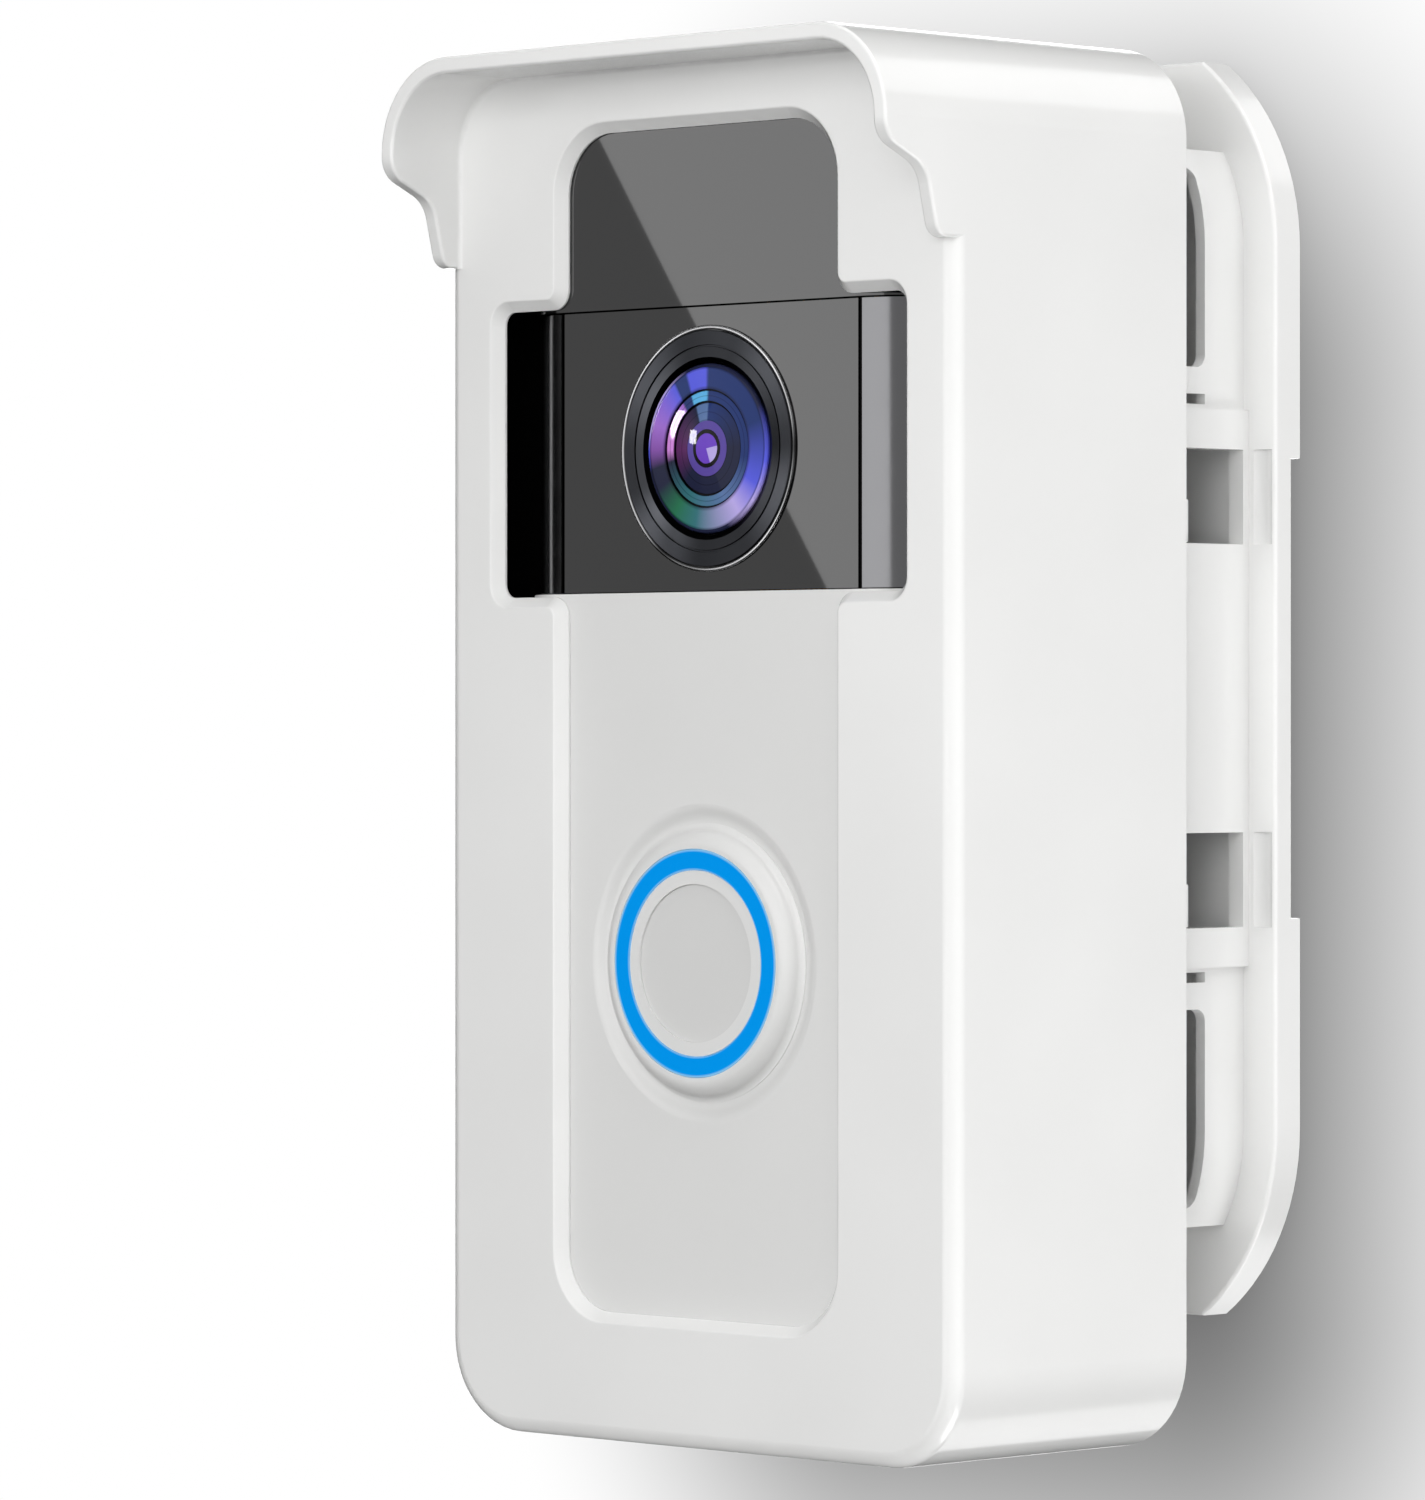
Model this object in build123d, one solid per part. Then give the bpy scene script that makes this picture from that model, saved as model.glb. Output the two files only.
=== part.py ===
from build123d import *
import os
from math import cos, radians, sin

# Frame: X to the viewer's right, Y into the wall, Z up, all in millimetres.
# The origin is on the wall plane, at the middle of the wall plate.

# Doorbell, overall
BELL_W = 62.0
BELL_H = 129.0
BELL_D = 28.0
BELL_SKIN = 1.6
BELL_CORNER_R = 8.0        # seen from the front
BELL_FLANK_R = 8.5         # seen from above, front edges
BELL_BACK_R = 2.0
FRONT_SHELL_D = 8.6        # front shells, front face to gasket
GASKET_T = 0.8
GASKET_INSET = 0.2
SEAM = 0.14                # gap between neighbouring front shells

# Housing around the doorbell
WALL = 1.8
FRONT_T = 1.45
SIDE_ROOM = 5.2            # doorbell side to housing wall
TOP_ROOM = 5.3
BOTTOM_ROOM = 10.7
FACE_GAP = 0.05            # doorbell front to the back of the front wall
FOAM_T = 4.2
COVER_T = 2.0
CORNER_R = 10.0
FRONT_EDGE_R = 1.7         # less than the wall, so the visor meets a flat face
SLOT_BEVEL_W = 1.1         # sloping lip round the slots, across and deep
SLOT_BEVEL_D = 1.2
SLOT_EDGE_R = 0.3          # round between the face and the lip
NARROW_W = 40.6            # button slot, clear width
SLOT_END_LAP = 1.3         # front wall over each end of the doorbell
NARROW_CORNER_R = 6.5
WIDE_SIDE_LAP = 0.75       # front wall over each side of the camera
WIDE_END_ROOM = 0.37       # camera slot past the camera window, top and bottom
WIDE_CORNER_R = 1.5
SLOT_ELBOW_R = 2.2

# Visor over the top of the front face
VISOR_REACH = 10.1
VISOR_NOSE_H = 12.25       # depth of the long front lip below the roof
VISOR_SHOULDER_REACH = 3.97
VISOR_SHOULDER_H = 15.03
VISOR_FOOT_REACH = 2.29
VISOR_H = 22.03
VISOR_NOSE_R = 3.0
VISOR_SHOULDER_R = 3.5
VISOR_FOOT_R = 1.8
VISOR_RIM_R = 0.35
VISOR_ROOT_R = 0.45        # hollow corner between the visor and the face

# Wall plate with its raised frame
PLATE_T = 4.0
PLATE_H = 135.3
PLATE_END_R = 25.0
PLATE_END_CUT = 4.65       # how far each rounded end is cut short
PLATE_EDGE_R = 0.4
HOUSING_DROP = 6.35        # housing centre below the plate centre
REAR_GAP = 14.3            # plate front to the housing's back edge
FRAME_INSET = 4.5
FRAME_WALL = 1.3
FRAME_H = 115.4
FRAME_CLEAR = 0.5          # frame front edge to the housing's back
BLOCK_H = 59.6
BLOCK_PROUD = 0.75
SCREW_HOLE_D = 4.2
SCREW_SINK_D = 8.0
PAD_T = 1.5
PAD_SEAT_H = 49.3
PAD_MARGIN = 4.0
SCOOP_W = 2.6              # shallow hollows on the plate beside the latch windows
SCOOP_DEPTH = 0.5
SCOOP_EDGE = 0.5

# Windows in the frame's side walls
LATCH_WINDOW = 10.15       # square window, side length
LATCH_Z = 20.5             # its centre, above and below the middle
LATCH_SILL = 0.93          # window edge to the plate front
TALL_TOP = 55.6
TALL_FOOT = 34.26
TALL_BACK = 6.26           # tall window edge to the plate front
TALL_CORNER_R = 1.3
TONGUE_GAP = 3.1
SLIT_FOOT = 30.3
SLIT_H = 1.1
CUT_REACH = 5.2            # window cuts past the wall's inner face

# Hanging lugs on the housing's rear cover
LIFT = 5.0                 # travel that frees the housing
LUG_H = 4.5
LUG_T = 1.6
LUG_REACH = 1.5            # into the window's wall
LUG_REST = 0.15            # lug above the window's lower edge at rest
LUG_LIP_CLEAR = 0.3
ARM_T = 2.0
ARM_CLEAR = 0.5
COVER_CLEAR = 0.2

# Screws
COVER_SCREW_D = 2.2
COVER_SCREW_HEAD_D = 4.4
COVER_SCREW_HEAD_T = 1.2
COVER_SCREW_L = 9.0
COVER_SCREW_Z = 48.0
CASE_SCREW_D = 2.4
CASE_SCREW_HEAD_D = 4.6
CASE_SCREW_HEAD_T = 1.8
CASE_SCREW_SINK = 2.6
CASE_SCREW_EDGE = 5.5      # from the doorbell's side
CASE_SCREW_END = 6.3       # from the doorbell's ends
BOARD_SCREW_D = 2.0
BOARD_SCREW_HEAD_D = 3.8
BOARD_SCREW_HEAD_T = 1.3
BOARD_SCREW_L = 6.0
SCREW_CLEAR = 0.1
BOSS_WALL = 1.3
BOSS_CLEAR = 0.3           # housing posts to the doorbell
CASE_BOSS_D = 7.6          # posts in the front shells

# Camera
WINDOW_H = 30.26
WINDOW_MARGIN = 0.4        # flat front beside the window
WINDOW_T = 1.6
WINDOW_GAP = 0.3
CAMERA_RECESS = 0.85       # camera face behind the doorbell's front
CAMERA_RISE = 29.04        # camera centre above the doorbell centre
CAMERA_WALL = 1.4
TRIM_D = 26.2
TRIM_W = 0.45
BEZEL_PROUD = 0.3
BEZEL_LIP_D = 21.8
BEZEL_NECK_D = 23.8
BEZEL_NECK_L = 4.4
LENS_D = 18.0
LENS_SET = 0.1             # lens edge behind the camera face
LENS_EDGE_T = 1.8
LENS_CROWN = 0.45
LENS_HOLLOW = 0.9
BARREL_STEPS = (15.2, 12.3, 9.9)
BARREL_STEP_L = 1.7
APERTURE_D = 4.1
APERTURE_T = 1.0
INNER_LENS_T = 1.6
INNER_LENS_CROWN = 0.5
SENSOR_ROOM_D = 13.0
SENSOR_ROOM_L = 2.75
SENSOR_SIZE = (9.0, 7.0, 1.1)
LENS_SEAL_T = 0.8
LENS_SEAL_CLEAR = 0.2
IR_BOARD_H = 27.0
IR_BOARD_T = 1.2
IR_BOARD_LAP = 0.4         # lamp board past each side of the window
IR_BOARD_CLEAR = 0.3       # round the barrel
IR_LED_D = 3.2
IR_LED_H = 1.6
IR_LED_EDGE = 5.0          # lamp centre from the board's side
IR_LED_Z = 9.0
IR_POST_D = 3.0
IR_POST_EDGE = 2.4         # post centre from the board's side
CAMERA_BOARD = (30.0, 27.0, 1.2)
FIT = 0.1                  # radial clearance of rings and plugs

# Button
BUTTON_DROP = 25.5         # button centre below the doorbell centre
BUTTON_TRAVEL = 0.6
BUTTON_D = 19.7
BUTTON_DISH_D = 16.8
BUTTON_DISH = 0.3
BUTTON_T = 1.6
BUTTON_SKIRT_L = 4.2
BUTTON_SKIRT_W = 1.25
RING_W = 2.1
RING_PROUD = 1.3
RING_SET = 0.1             # button front below the light ring
BEZEL_RIM_W = 0.45
MOAT_D = 33.8
MOAT_SLOPE_W = 2.1
MOAT_DEPTH = 0.6
COLLAR_SWELL = 0.68        # share of the collar's slope that swells before it hollows
COLLAR_LIP = 0.1           # left at the edge of its foot
COLLAR_NECK_W = 1.35
COLLAR_NECK_L = 3.4
STEM_D = 4.4
SEAL_T = 0.6
SEAL_CLEAR = 0.24          # pressed skirt to the seal
STEM_PAST_SEAL = 2.7
SEAL_LEDGE_W = 0.95
SWITCH_SIZE = 6.0
SWITCH_H = 3.6
PLUNGER_D = 3.4
PLUNGER_L = 1.2
PLUNGER_ROOM = 1.3
PLUNGER_SINK = 0.18        # pin inside the switch at rest
RING_LED = (2.0, 1.6, 1.6)
RING_LED_COUNT = 8
RING_LED_GAP = 0.3
BUTTON_BOARD = 34.0
BUTTON_BOARD_T = 1.0
BUTTON_POST_D = 4.0
BUTTON_POST_PITCH = 29.0

# Inside the doorbell
MAIN_BOARD_H = 66.0
MAIN_BOARD_T = 1.6
MAIN_BOARD_CLEAR = 0.3     # board's sides to the case screws' posts
BOARD_CAMERA_GAP = 3.9     # main board to the camera board above it
BOARD_GAP = 1.5            # button board to main board
BOARD_POST_D = 4.4
BOARD_POST_INSET = 3.5     # from the board's ends
BOARD_POST_SIDE = 2.0      # from the board's sides
BATTERY_T = 10.2
BATTERY_H = 56.0
BATTERY_SIDE_GAP = 0.3     # battery to the board's posts
BATTERY_DROP = 20.35       # battery centre below the doorbell centre
CONNECTOR_W = 10.0
CONNECTOR_H = 3.5
SHIELD = (20.0, 1.5, 14.0)
SHIELD_TOP_GAP = 2.0
MIC_D = 4.0
MIC_T = 1.5
MIC_X = 12.0
SPEAKER_D = 17.6
SPEAKER_T = 5.6
SPEAKER_WALL = 1.0
SPEAKER_GASKET_T = 0.4
SPEAKER_GASKET_W = 1.5
RIBBON_W = 10.0
RIBBON_T = 0.3
RIBBON_LAP = 5.0
ANTENNA = (32.0, 0.3, 10.0)
POWER_BOARD = (38.0, 1.2, 14.0)
POWER_END = 12.85          # power board centre below the doorbell's top
POWER_DEPTH = 7.0          # doorbell back to the power board
TERMINAL_X = 12.0
TERMINAL_D = 7.0
TERMINAL_SCREW_D = 3.4
TERMINAL_HEAD_D = 6.4
TERMINAL_HEAD_T = 1.6
TERMINAL_SCREW_L = 4.5
PORT_W = 8.0
PORT_H = 3.2
PORT_WALL = 0.4
PORT_SET = 0.3
FOAM_SIZE = (44.0, 22.0)
FOAM_RISES = (22.0, -42.0)

# Depths worked out from the sizes above
PLATE_Y = -PLATE_T
BACK_Y = PLATE_Y - REAR_GAP
COVER_Y = BACK_Y - COVER_T
BELL_BACK_Y = COVER_Y - FOAM_T
BELL_Y = BELL_BACK_Y - BELL_D
FRONT_WALL_Y = BELL_Y - FACE_GAP
FACE_Y = FRONT_WALL_Y - FRONT_T
VISOR_Y = FACE_Y - VISOR_REACH
FRAME_Y = BACK_Y + FRAME_CLEAR
BELL_INNER_Y = BELL_Y + BELL_SKIN
GASKET_Y = BELL_Y + FRONT_SHELL_D
CASE_Y = GASKET_Y + GASKET_T
FLOOR_Y = BELL_BACK_Y - BELL_SKIN
CAMERA_Y = BELL_Y + CAMERA_RECESS
CAMERA_WALL_Y = CAMERA_Y + WINDOW_T
BEZEL_END_Y = CAMERA_Y + BEZEL_NECK_L
IR_BOARD_Y = BEZEL_END_Y + LENS_SEAL_T
LENS_BACK_Y = CAMERA_Y + LENS_SET + LENS_EDGE_T
APERTURE_Y = LENS_BACK_Y + len(BARREL_STEPS) * BARREL_STEP_L + INNER_LENS_T / 2
SENSOR_ROOM_Y = APERTURE_Y + APERTURE_T
CAMERA_BOARD_Y = SENSOR_ROOM_Y + SENSOR_ROOM_L
COLLAR_FOOT_Y = BELL_Y + MOAT_DEPTH
COLLAR_END_Y = COLLAR_FOOT_Y + COLLAR_NECK_L
RING_Y = BELL_Y - RING_PROUD
CAP_Y = RING_Y + RING_SET
SEAL_Y = CAP_Y + BUTTON_SKIRT_L + BUTTON_TRAVEL + SEAL_CLEAR
STEM_END_Y = SEAL_Y + STEM_PAST_SEAL
SWITCH_Y = STEM_END_Y + PLUNGER_L - PLUNGER_SINK
BUTTON_BOARD_Y = SWITCH_Y + SWITCH_H
RING_END_Y = BUTTON_BOARD_Y - RING_LED[1] - RING_LED_GAP
MAIN_BOARD_Y = BUTTON_BOARD_Y + BUTTON_BOARD_T + BOARD_GAP
MAIN_BOARD_BACK_Y = MAIN_BOARD_Y + MAIN_BOARD_T
POWER_Y = BELL_BACK_Y - POWER_DEPTH
SPEAKER_Y = BELL_INNER_Y + SPEAKER_GASKET_T

# Widths and heights worked out from the sizes above
HOUSING_W = BELL_W + 2 * (SIDE_ROOM + WALL)
HOUSING_H = BELL_H + TOP_ROOM + BOTTOM_ROOM + 2 * WALL
HOUSING_Z = -HOUSING_DROP
ROOF_Z = HOUSING_Z + HOUSING_H / 2
BELL_Z = HOUSING_Z - HOUSING_H / 2 + WALL + BOTTOM_ROOM + BELL_H / 2
CAMERA_Z = BELL_Z + CAMERA_RISE
BUTTON_Z = BELL_Z - BUTTON_DROP
WINDOW_FOOT_Z = CAMERA_Z - WINDOW_H / 2
WINDOW_TOP_Z = CAMERA_Z + WINDOW_H / 2
PLATE_W = HOUSING_W
FRAME_X = PLATE_W / 2 - FRAME_INSET
FRAME_INNER_X = FRAME_X - FRAME_WALL
WINDOW_W = BELL_W - 2 * (BELL_FLANK_R + WINDOW_MARGIN)
IR_BOARD_W = WINDOW_W + 2 * IR_BOARD_LAP
IR_LED_X = IR_BOARD_W / 2 - IR_LED_EDGE
IR_POST_X = IR_BOARD_W / 2 - IR_POST_EDGE
RING_D = BUTTON_D + 2 * FIT + 2 * RING_W
COLLAR_NECK_D = RING_D + 2 * FIT + 2 * COLLAR_NECK_W
CASE_SINK_D = CASE_SCREW_HEAD_D + 2 * SCREW_CLEAR
CASE_POST_D = CASE_SINK_D + 2 * BOSS_WALL
CASE_SCREW_X = BELL_W / 2 - CASE_SCREW_EDGE
MAIN_BOARD_W = 2 * (CASE_SCREW_X - CASE_POST_D / 2 - MAIN_BOARD_CLEAR)
BOARD_SCREW_X = MAIN_BOARD_W / 2 - BOARD_POST_SIDE
BATTERY_W = 2 * (BOARD_SCREW_X - BOARD_POST_D / 2 - BATTERY_SIDE_GAP)
MAIN_TOP_Z = CAMERA_Z - CAMERA_BOARD[1] / 2 - BOARD_CAMERA_GAP
MAIN_FOOT_Z = MAIN_TOP_Z - MAIN_BOARD_H
POWER_Z = BELL_Z + BELL_H / 2 - POWER_END
SPEAKER_Z = BELL_Z - BELL_H / 2 + BELL_SKIN + FIT + SPEAKER_D / 2 + FIT


def slab(x, y, z):
    """Box between the limits of each axis."""
    size = (x[1] - x[0], y[1] - y[0], z[1] - z[0])
    middle = Pos(sum(x) / 2, sum(y) / 2, sum(z) / 2)
    return middle * Box(*size)


def prism(sketch, y0, y1):
    """Front-view sketch, with its own Y up, pulled from depth y0 back to y1."""
    plane = Plane((0, y1, 0), x_dir=(1, 0, 0), z_dir=(0, -1, 0))
    return extrude(plane * sketch, amount=y1 - y0)


def disc(diameter, y0, y1, x=0.0, z=0.0):
    """Round bar along Y."""
    return prism(Pos(x, z) * Circle(diameter / 2), y0, y1)


def ring(outer, inner, y0, y1, x=0.0, z=0.0):
    """Round tube along Y."""
    return prism(Pos(x, z) * (Circle(outer / 2) - Circle(inner / 2)), y0, y1)


def turned(profile, x=0.0, z=0.0):
    """Solid turned about a line along Y; profile points are (radius, depth)."""
    face = make_face(Plane.XY * profile)
    return Pos(x, 0, z) * revolve(face, Axis.Y)


def rounded(width, height, radius, z=0.0):
    """Front-view rounded rectangle centred on the middle line."""
    return Pos(0, z) * RectangleRounded(width, height, radius)


def both_sides(shape):
    """A shape and its mirror image across the middle plane."""
    return shape + mirror(shape, Plane.YZ)


def edges_at(shape, y):
    """Edges that lie in one plane across Y."""
    near = []
    for edge in shape.edges():
        box = edge.bounding_box()
        if abs(box.min.Y - y) < 1e-3 and abs(box.max.Y - y) < 1e-3:
            near.append(edge)
    return near


def screw(diameter, length, head_d, head_t, y, x, z, way=1):
    """Pan-head screw along Y whose head seats at depth y; way is its point's side."""
    shank = disc(diameter, min(y, y + way * length), max(y, y + way * length), x, z)
    head = disc(head_d, min(y, y - way * head_t), max(y, y - way * head_t), x, z)
    return shank + head


# Wall plate
def end_rounded(inset, height):
    """Outline with four wide corner arcs, its top and bottom cut straight."""
    arcs = RectangleRounded(
        PLATE_W - 2 * inset,
        PLATE_H + 2 * PLATE_END_CUT - 2 * inset,
        PLATE_END_R - inset,
    )
    return arcs & Rectangle(PLATE_W, height)


def back_edges(block):
    """The two edges along X at the back of a block."""
    return block.edges().filter_by(Axis.X).sort_by(Axis.Y)[-2:]


def frame_windows():
    """Cuts through the right-hand frame wall."""
    through = (FRAME_INNER_X - CUT_REACH, FRAME_X + FRAME_INSET)
    tall_y = (FRAME_Y, PLATE_Y - TALL_BACK)
    latch_y = (PLATE_Y - LATCH_SILL - LATCH_WINDOW, PLATE_Y - LATCH_SILL)
    cuts = []
    for side in (1, -1):
        tall = slab(through, tall_y, sorted((side * TALL_FOOT, side * TALL_TOP)))
        tall = fillet(back_edges(tall), TALL_CORNER_R)
        tongue_z = sorted((side * (TALL_FOOT + TONGUE_GAP), side * TALL_TOP))
        tongue = slab(through, (FRAME_Y, tall_y[1] - TONGUE_GAP), tongue_z)
        slit_z = sorted((side * SLIT_FOOT, side * (SLIT_FOOT + SLIT_H)))
        cuts += [tall - tongue, slab(through, tall_y, slit_z)]
        foot = side * LATCH_Z - LATCH_WINDOW / 2
        top = foot + LATCH_WINDOW
        cuts.append(slab(through, latch_y, (foot, top)))
        entry_foot = foot + LUG_REST + LIFT - LUG_LIP_CLEAR
        cuts.append(slab(through, (FRAME_Y, latch_y[0]), (entry_foot, top)))
    return cuts


def flange_scoop(z):
    """Shallow round hollow along the plate's right edge, beside a latch window."""
    radius = (SCOOP_W**2 / 4 + SCOOP_DEPTH**2) / (2 * SCOOP_DEPTH)
    x = PLATE_W / 2 - SCOOP_EDGE - SCOOP_W / 2
    return Pos(x, PLATE_Y + SCOOP_DEPTH - radius, z) * Cylinder(radius, LATCH_WINDOW)


def wall_plate():
    """Plate against the wall, with the raised frame that the housing hangs on."""
    plate = prism(end_rounded(0, PLATE_H), PLATE_Y, 0)
    plate = fillet(edges_at(plate, PLATE_Y), PLATE_EDGE_R)
    pad_seat = slab((-PLATE_W / 2, PLATE_W / 2), (-PAD_T, 0), (-PAD_SEAT_H / 2, PAD_SEAT_H / 2))
    plate -= pad_seat
    block = Rectangle(2 * (FRAME_X + BLOCK_PROUD), BLOCK_H)
    walls = end_rounded(FRAME_INSET, FRAME_H) + block
    walls -= end_rounded(FRAME_INSET + FRAME_WALL, FRAME_H - 2 * FRAME_WALL)
    frame = prism(walls, FRAME_Y, PLATE_Y)
    for cut in frame_windows():
        frame -= both_sides(cut)
    for z in (LATCH_Z, -LATCH_Z):
        plate -= both_sides(flange_scoop(z))
    hole_z = (PLATE_H + FRAME_H) / 4
    sink = (SCREW_SINK_D - SCREW_HOLE_D) / 2
    for z in (hole_z, -hole_z):
        plate -= disc(SCREW_HOLE_D, PLATE_Y, 0, 0, z)
        cone = Polyline(
            (0, PLATE_Y),
            (SCREW_SINK_D / 2, PLATE_Y),
            (SCREW_HOLE_D / 2, PLATE_Y + sink),
            (0, PLATE_Y + sink),
            close=True,
        )
        plate -= turned(cone, 0, z)
    return plate + frame


def adhesive_pad():
    """Foam tape that sticks the plate to the wall."""
    half_w = PLATE_W / 2 - PAD_MARGIN
    half_h = PAD_SEAT_H / 2 - PAD_MARGIN
    return slab((-half_w, half_w), (-PAD_T, 0), (-half_h, half_h))


# Housing
def housing_outline(inset=0.0):
    return rounded(HOUSING_W - 2 * inset, HOUSING_H - 2 * inset, CORNER_R - inset, HOUSING_Z)


def visor_side_view():
    """Side view of the visor: a long nose, an ogee step, then the face."""
    corners = [
        (VISOR_Y, ROOF_Z),
        (VISOR_Y, ROOF_Z - VISOR_NOSE_H),
        (FACE_Y - VISOR_SHOULDER_REACH, ROOF_Z - VISOR_SHOULDER_H),
        (FACE_Y - VISOR_FOOT_REACH, ROOF_Z - VISOR_H),
        (FACE_Y + FRONT_EDGE_R, ROOF_Z - VISOR_H),
        (FACE_Y + FRONT_EDGE_R, ROOF_Z),
    ]
    face = make_face(Polyline(*corners, close=True))
    radii = (VISOR_NOSE_R, VISOR_SHOULDER_R, VISOR_FOOT_R)
    for corner, radius in zip(corners[1:4], radii):
        vertex = face.vertices().sort_by_distance((*corner, 0))[0]
        face = fillet(vertex, radius)
    return face


def visor_block():
    """Solid as wide as the housing, with the visor's side view."""
    return extrude(Plane.YZ * visor_side_view(), amount=HOUSING_W / 2, both=True)


def visor_root():
    """Hollow corner between the inside of the visor and the front face."""
    room = prism(housing_outline(WALL), FACE_Y - 2 * VISOR_ROOT_R, FACE_Y)
    return (room - fillet(edges_at(room, FACE_Y), VISOR_ROOT_R)) & visor_block()


def visor():
    """Hood around the top of the front face."""
    hoop = prism(housing_outline() - housing_outline(WALL), VISOR_Y, FACE_Y + FRONT_EDGE_R)
    hood = hoop & visor_block()
    rim = [edge for edge in hood.edges() if edge.center().Y < FACE_Y - VISOR_FOOT_REACH]
    return fillet(rim, VISOR_RIM_R)


def slot_opening():
    """Front-view outline of the joined button and camera slots."""
    narrow = rounded(NARROW_W, BELL_H - 2 * SLOT_END_LAP, NARROW_CORNER_R, BELL_Z)
    wide = rounded(
        BELL_W - 2 * WIDE_SIDE_LAP,
        WINDOW_H + 2 * WIDE_END_ROOM,
        WIDE_CORNER_R,
        CAMERA_Z,
    )
    opening = narrow + wide
    half_h = WINDOW_H / 2 + WIDE_END_ROOM
    for x in (-NARROW_W / 2, NARROW_W / 2):
        for z in (CAMERA_Z - half_h, CAMERA_Z + half_h):
            elbow = opening.vertices().sort_by_distance((x, z, 0))[0]
            opening = fillet(elbow, SLOT_ELBOW_R)
    return opening


def cover_screw_places():
    x = BELL_W / 2 + SIDE_ROOM / 2
    return [(side * x, BELL_Z + rise) for side in (-1, 1) for rise in (COVER_SCREW_Z, -COVER_SCREW_Z)]


def housing_shell():
    """White box, open at the back, with the slots and the visor in front."""
    body = prism(housing_outline(), FACE_Y, BACK_Y)
    body = fillet(edges_at(body, FACE_Y), FRONT_EDGE_R)
    body -= prism(housing_outline(WALL), FRONT_WALL_Y, BACK_Y)
    body -= prism(slot_opening(), FACE_Y, FRONT_WALL_Y)
    lips = [edge for edge in edges_at(body, FACE_Y) if slot_edge(edge)]
    front = body.faces().filter_by(Axis.Y).sort_by(Axis.Y)[0]
    body = chamfer(lips, SLOT_BEVEL_W, SLOT_BEVEL_D, reference=front)
    lips = [edge for edge in edges_at(body, FACE_Y) if slot_edge(edge)]
    body = fillet(lips, SLOT_EDGE_R)
    body += visor()
    body += visor_root()
    boss_d = SIDE_ROOM - BOSS_CLEAR
    boss_x = BELL_W / 2 + SIDE_ROOM - boss_d / 2
    for x, z in cover_screw_places():
        side = 1 if x > 0 else -1
        web = slab(
            sorted((side * boss_x, side * (BELL_W / 2 + SIDE_ROOM + WALL / 2))),
            (FRONT_WALL_Y, COVER_Y),
            (z - boss_d / 2, z + boss_d / 2),
        )
        body += disc(boss_d, FRONT_WALL_Y, COVER_Y, side * boss_x, z) + web
        body -= disc(COVER_SCREW_D, COVER_Y - COVER_SCREW_L, COVER_Y, x, z)
    for x in (-BELL_W / 4, BELL_W / 4):
        rest = (HOUSING_Z - HOUSING_H / 2 + WALL / 2, BELL_Z - BELL_H / 2)
        body += slab((x - WALL / 2, x + WALL / 2), (FRONT_WALL_Y, COVER_Y), rest)
    return body


def slot_edge(edge):
    """True for a front edge of the slots, false for the rounded rim of the box."""
    middle = edge.center()
    return abs(middle.X) < BELL_W / 2 and abs(middle.Z - BELL_Z) < BELL_H / 2


def rear_cover():
    """Panel that closes the housing, with four arms that hang on the frame."""
    plate = prism(housing_outline(WALL + COVER_CLEAR), COVER_Y, BACK_Y)
    head_seat = COVER_Y + COVER_T - COVER_SCREW_HEAD_T
    for x, z in cover_screw_places():
        plate -= disc(COVER_SCREW_D + 2 * SCREW_CLEAR, COVER_Y, BACK_Y, x, z)
        plate -= disc(COVER_SCREW_HEAD_D + 2 * SCREW_CLEAR, head_seat, BACK_Y, x, z)
    arm_x = (FRAME_INNER_X - ARM_CLEAR - ARM_T, FRAME_INNER_X - ARM_CLEAR)
    lip_y = PLATE_Y - LATCH_SILL - LATCH_WINDOW
    lug_y = (lip_y + LUG_LIP_CLEAR, lip_y + LUG_LIP_CLEAR + LUG_T)
    for middle in (LATCH_Z, -LATCH_Z):
        foot = middle - LATCH_WINDOW / 2 + LUG_REST
        arm = slab(arm_x, (BACK_Y, lug_y[1]), (foot, foot + LUG_H))
        lug = slab((arm_x[1], FRAME_INNER_X + LUG_REACH), lug_y, (foot, foot + LUG_H))
        plate += both_sides(arm + lug)
    return plate


def cover_screws():
    """Screws that hold the rear cover in the housing."""
    seat = BACK_Y - COVER_SCREW_HEAD_T
    length = COVER_SCREW_L + COVER_T - COVER_SCREW_HEAD_T
    parts = []
    for x, z in cover_screw_places():
        parts.append(
            screw(COVER_SCREW_D, length, COVER_SCREW_HEAD_D, COVER_SCREW_HEAD_T, seat, x, z, -1)
        )
    return Compound(parts)


def foam_pads():
    """Foam that presses the doorbell against the front wall."""
    half_w, half_h = FOAM_SIZE[0] / 2, FOAM_SIZE[1] / 2
    pads = []
    for rise in FOAM_RISES:
        z = BELL_Z + rise
        pads.append(slab((-half_w, half_w), (BELL_BACK_Y, COVER_Y), (z - half_h, z + half_h)))
    return Compound(pads)


# Doorbell shells
def bell_outline(inset=0.0):
    return rounded(BELL_W - 2 * inset, BELL_H - 2 * inset, BELL_CORNER_R - inset, BELL_Z)


def bell_section(front_y, inset=0.0):
    """Seen from above: flat front that rolls into the two sides."""
    depth = BELL_BACK_Y - front_y
    full = Pos(0, front_y + depth / 2) * Rectangle(BELL_W - 2 * inset, depth)
    front = [v for v in full.vertices() if v.Y < front_y + depth / 2]
    return fillet(front, BELL_FLANK_R - inset)


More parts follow.
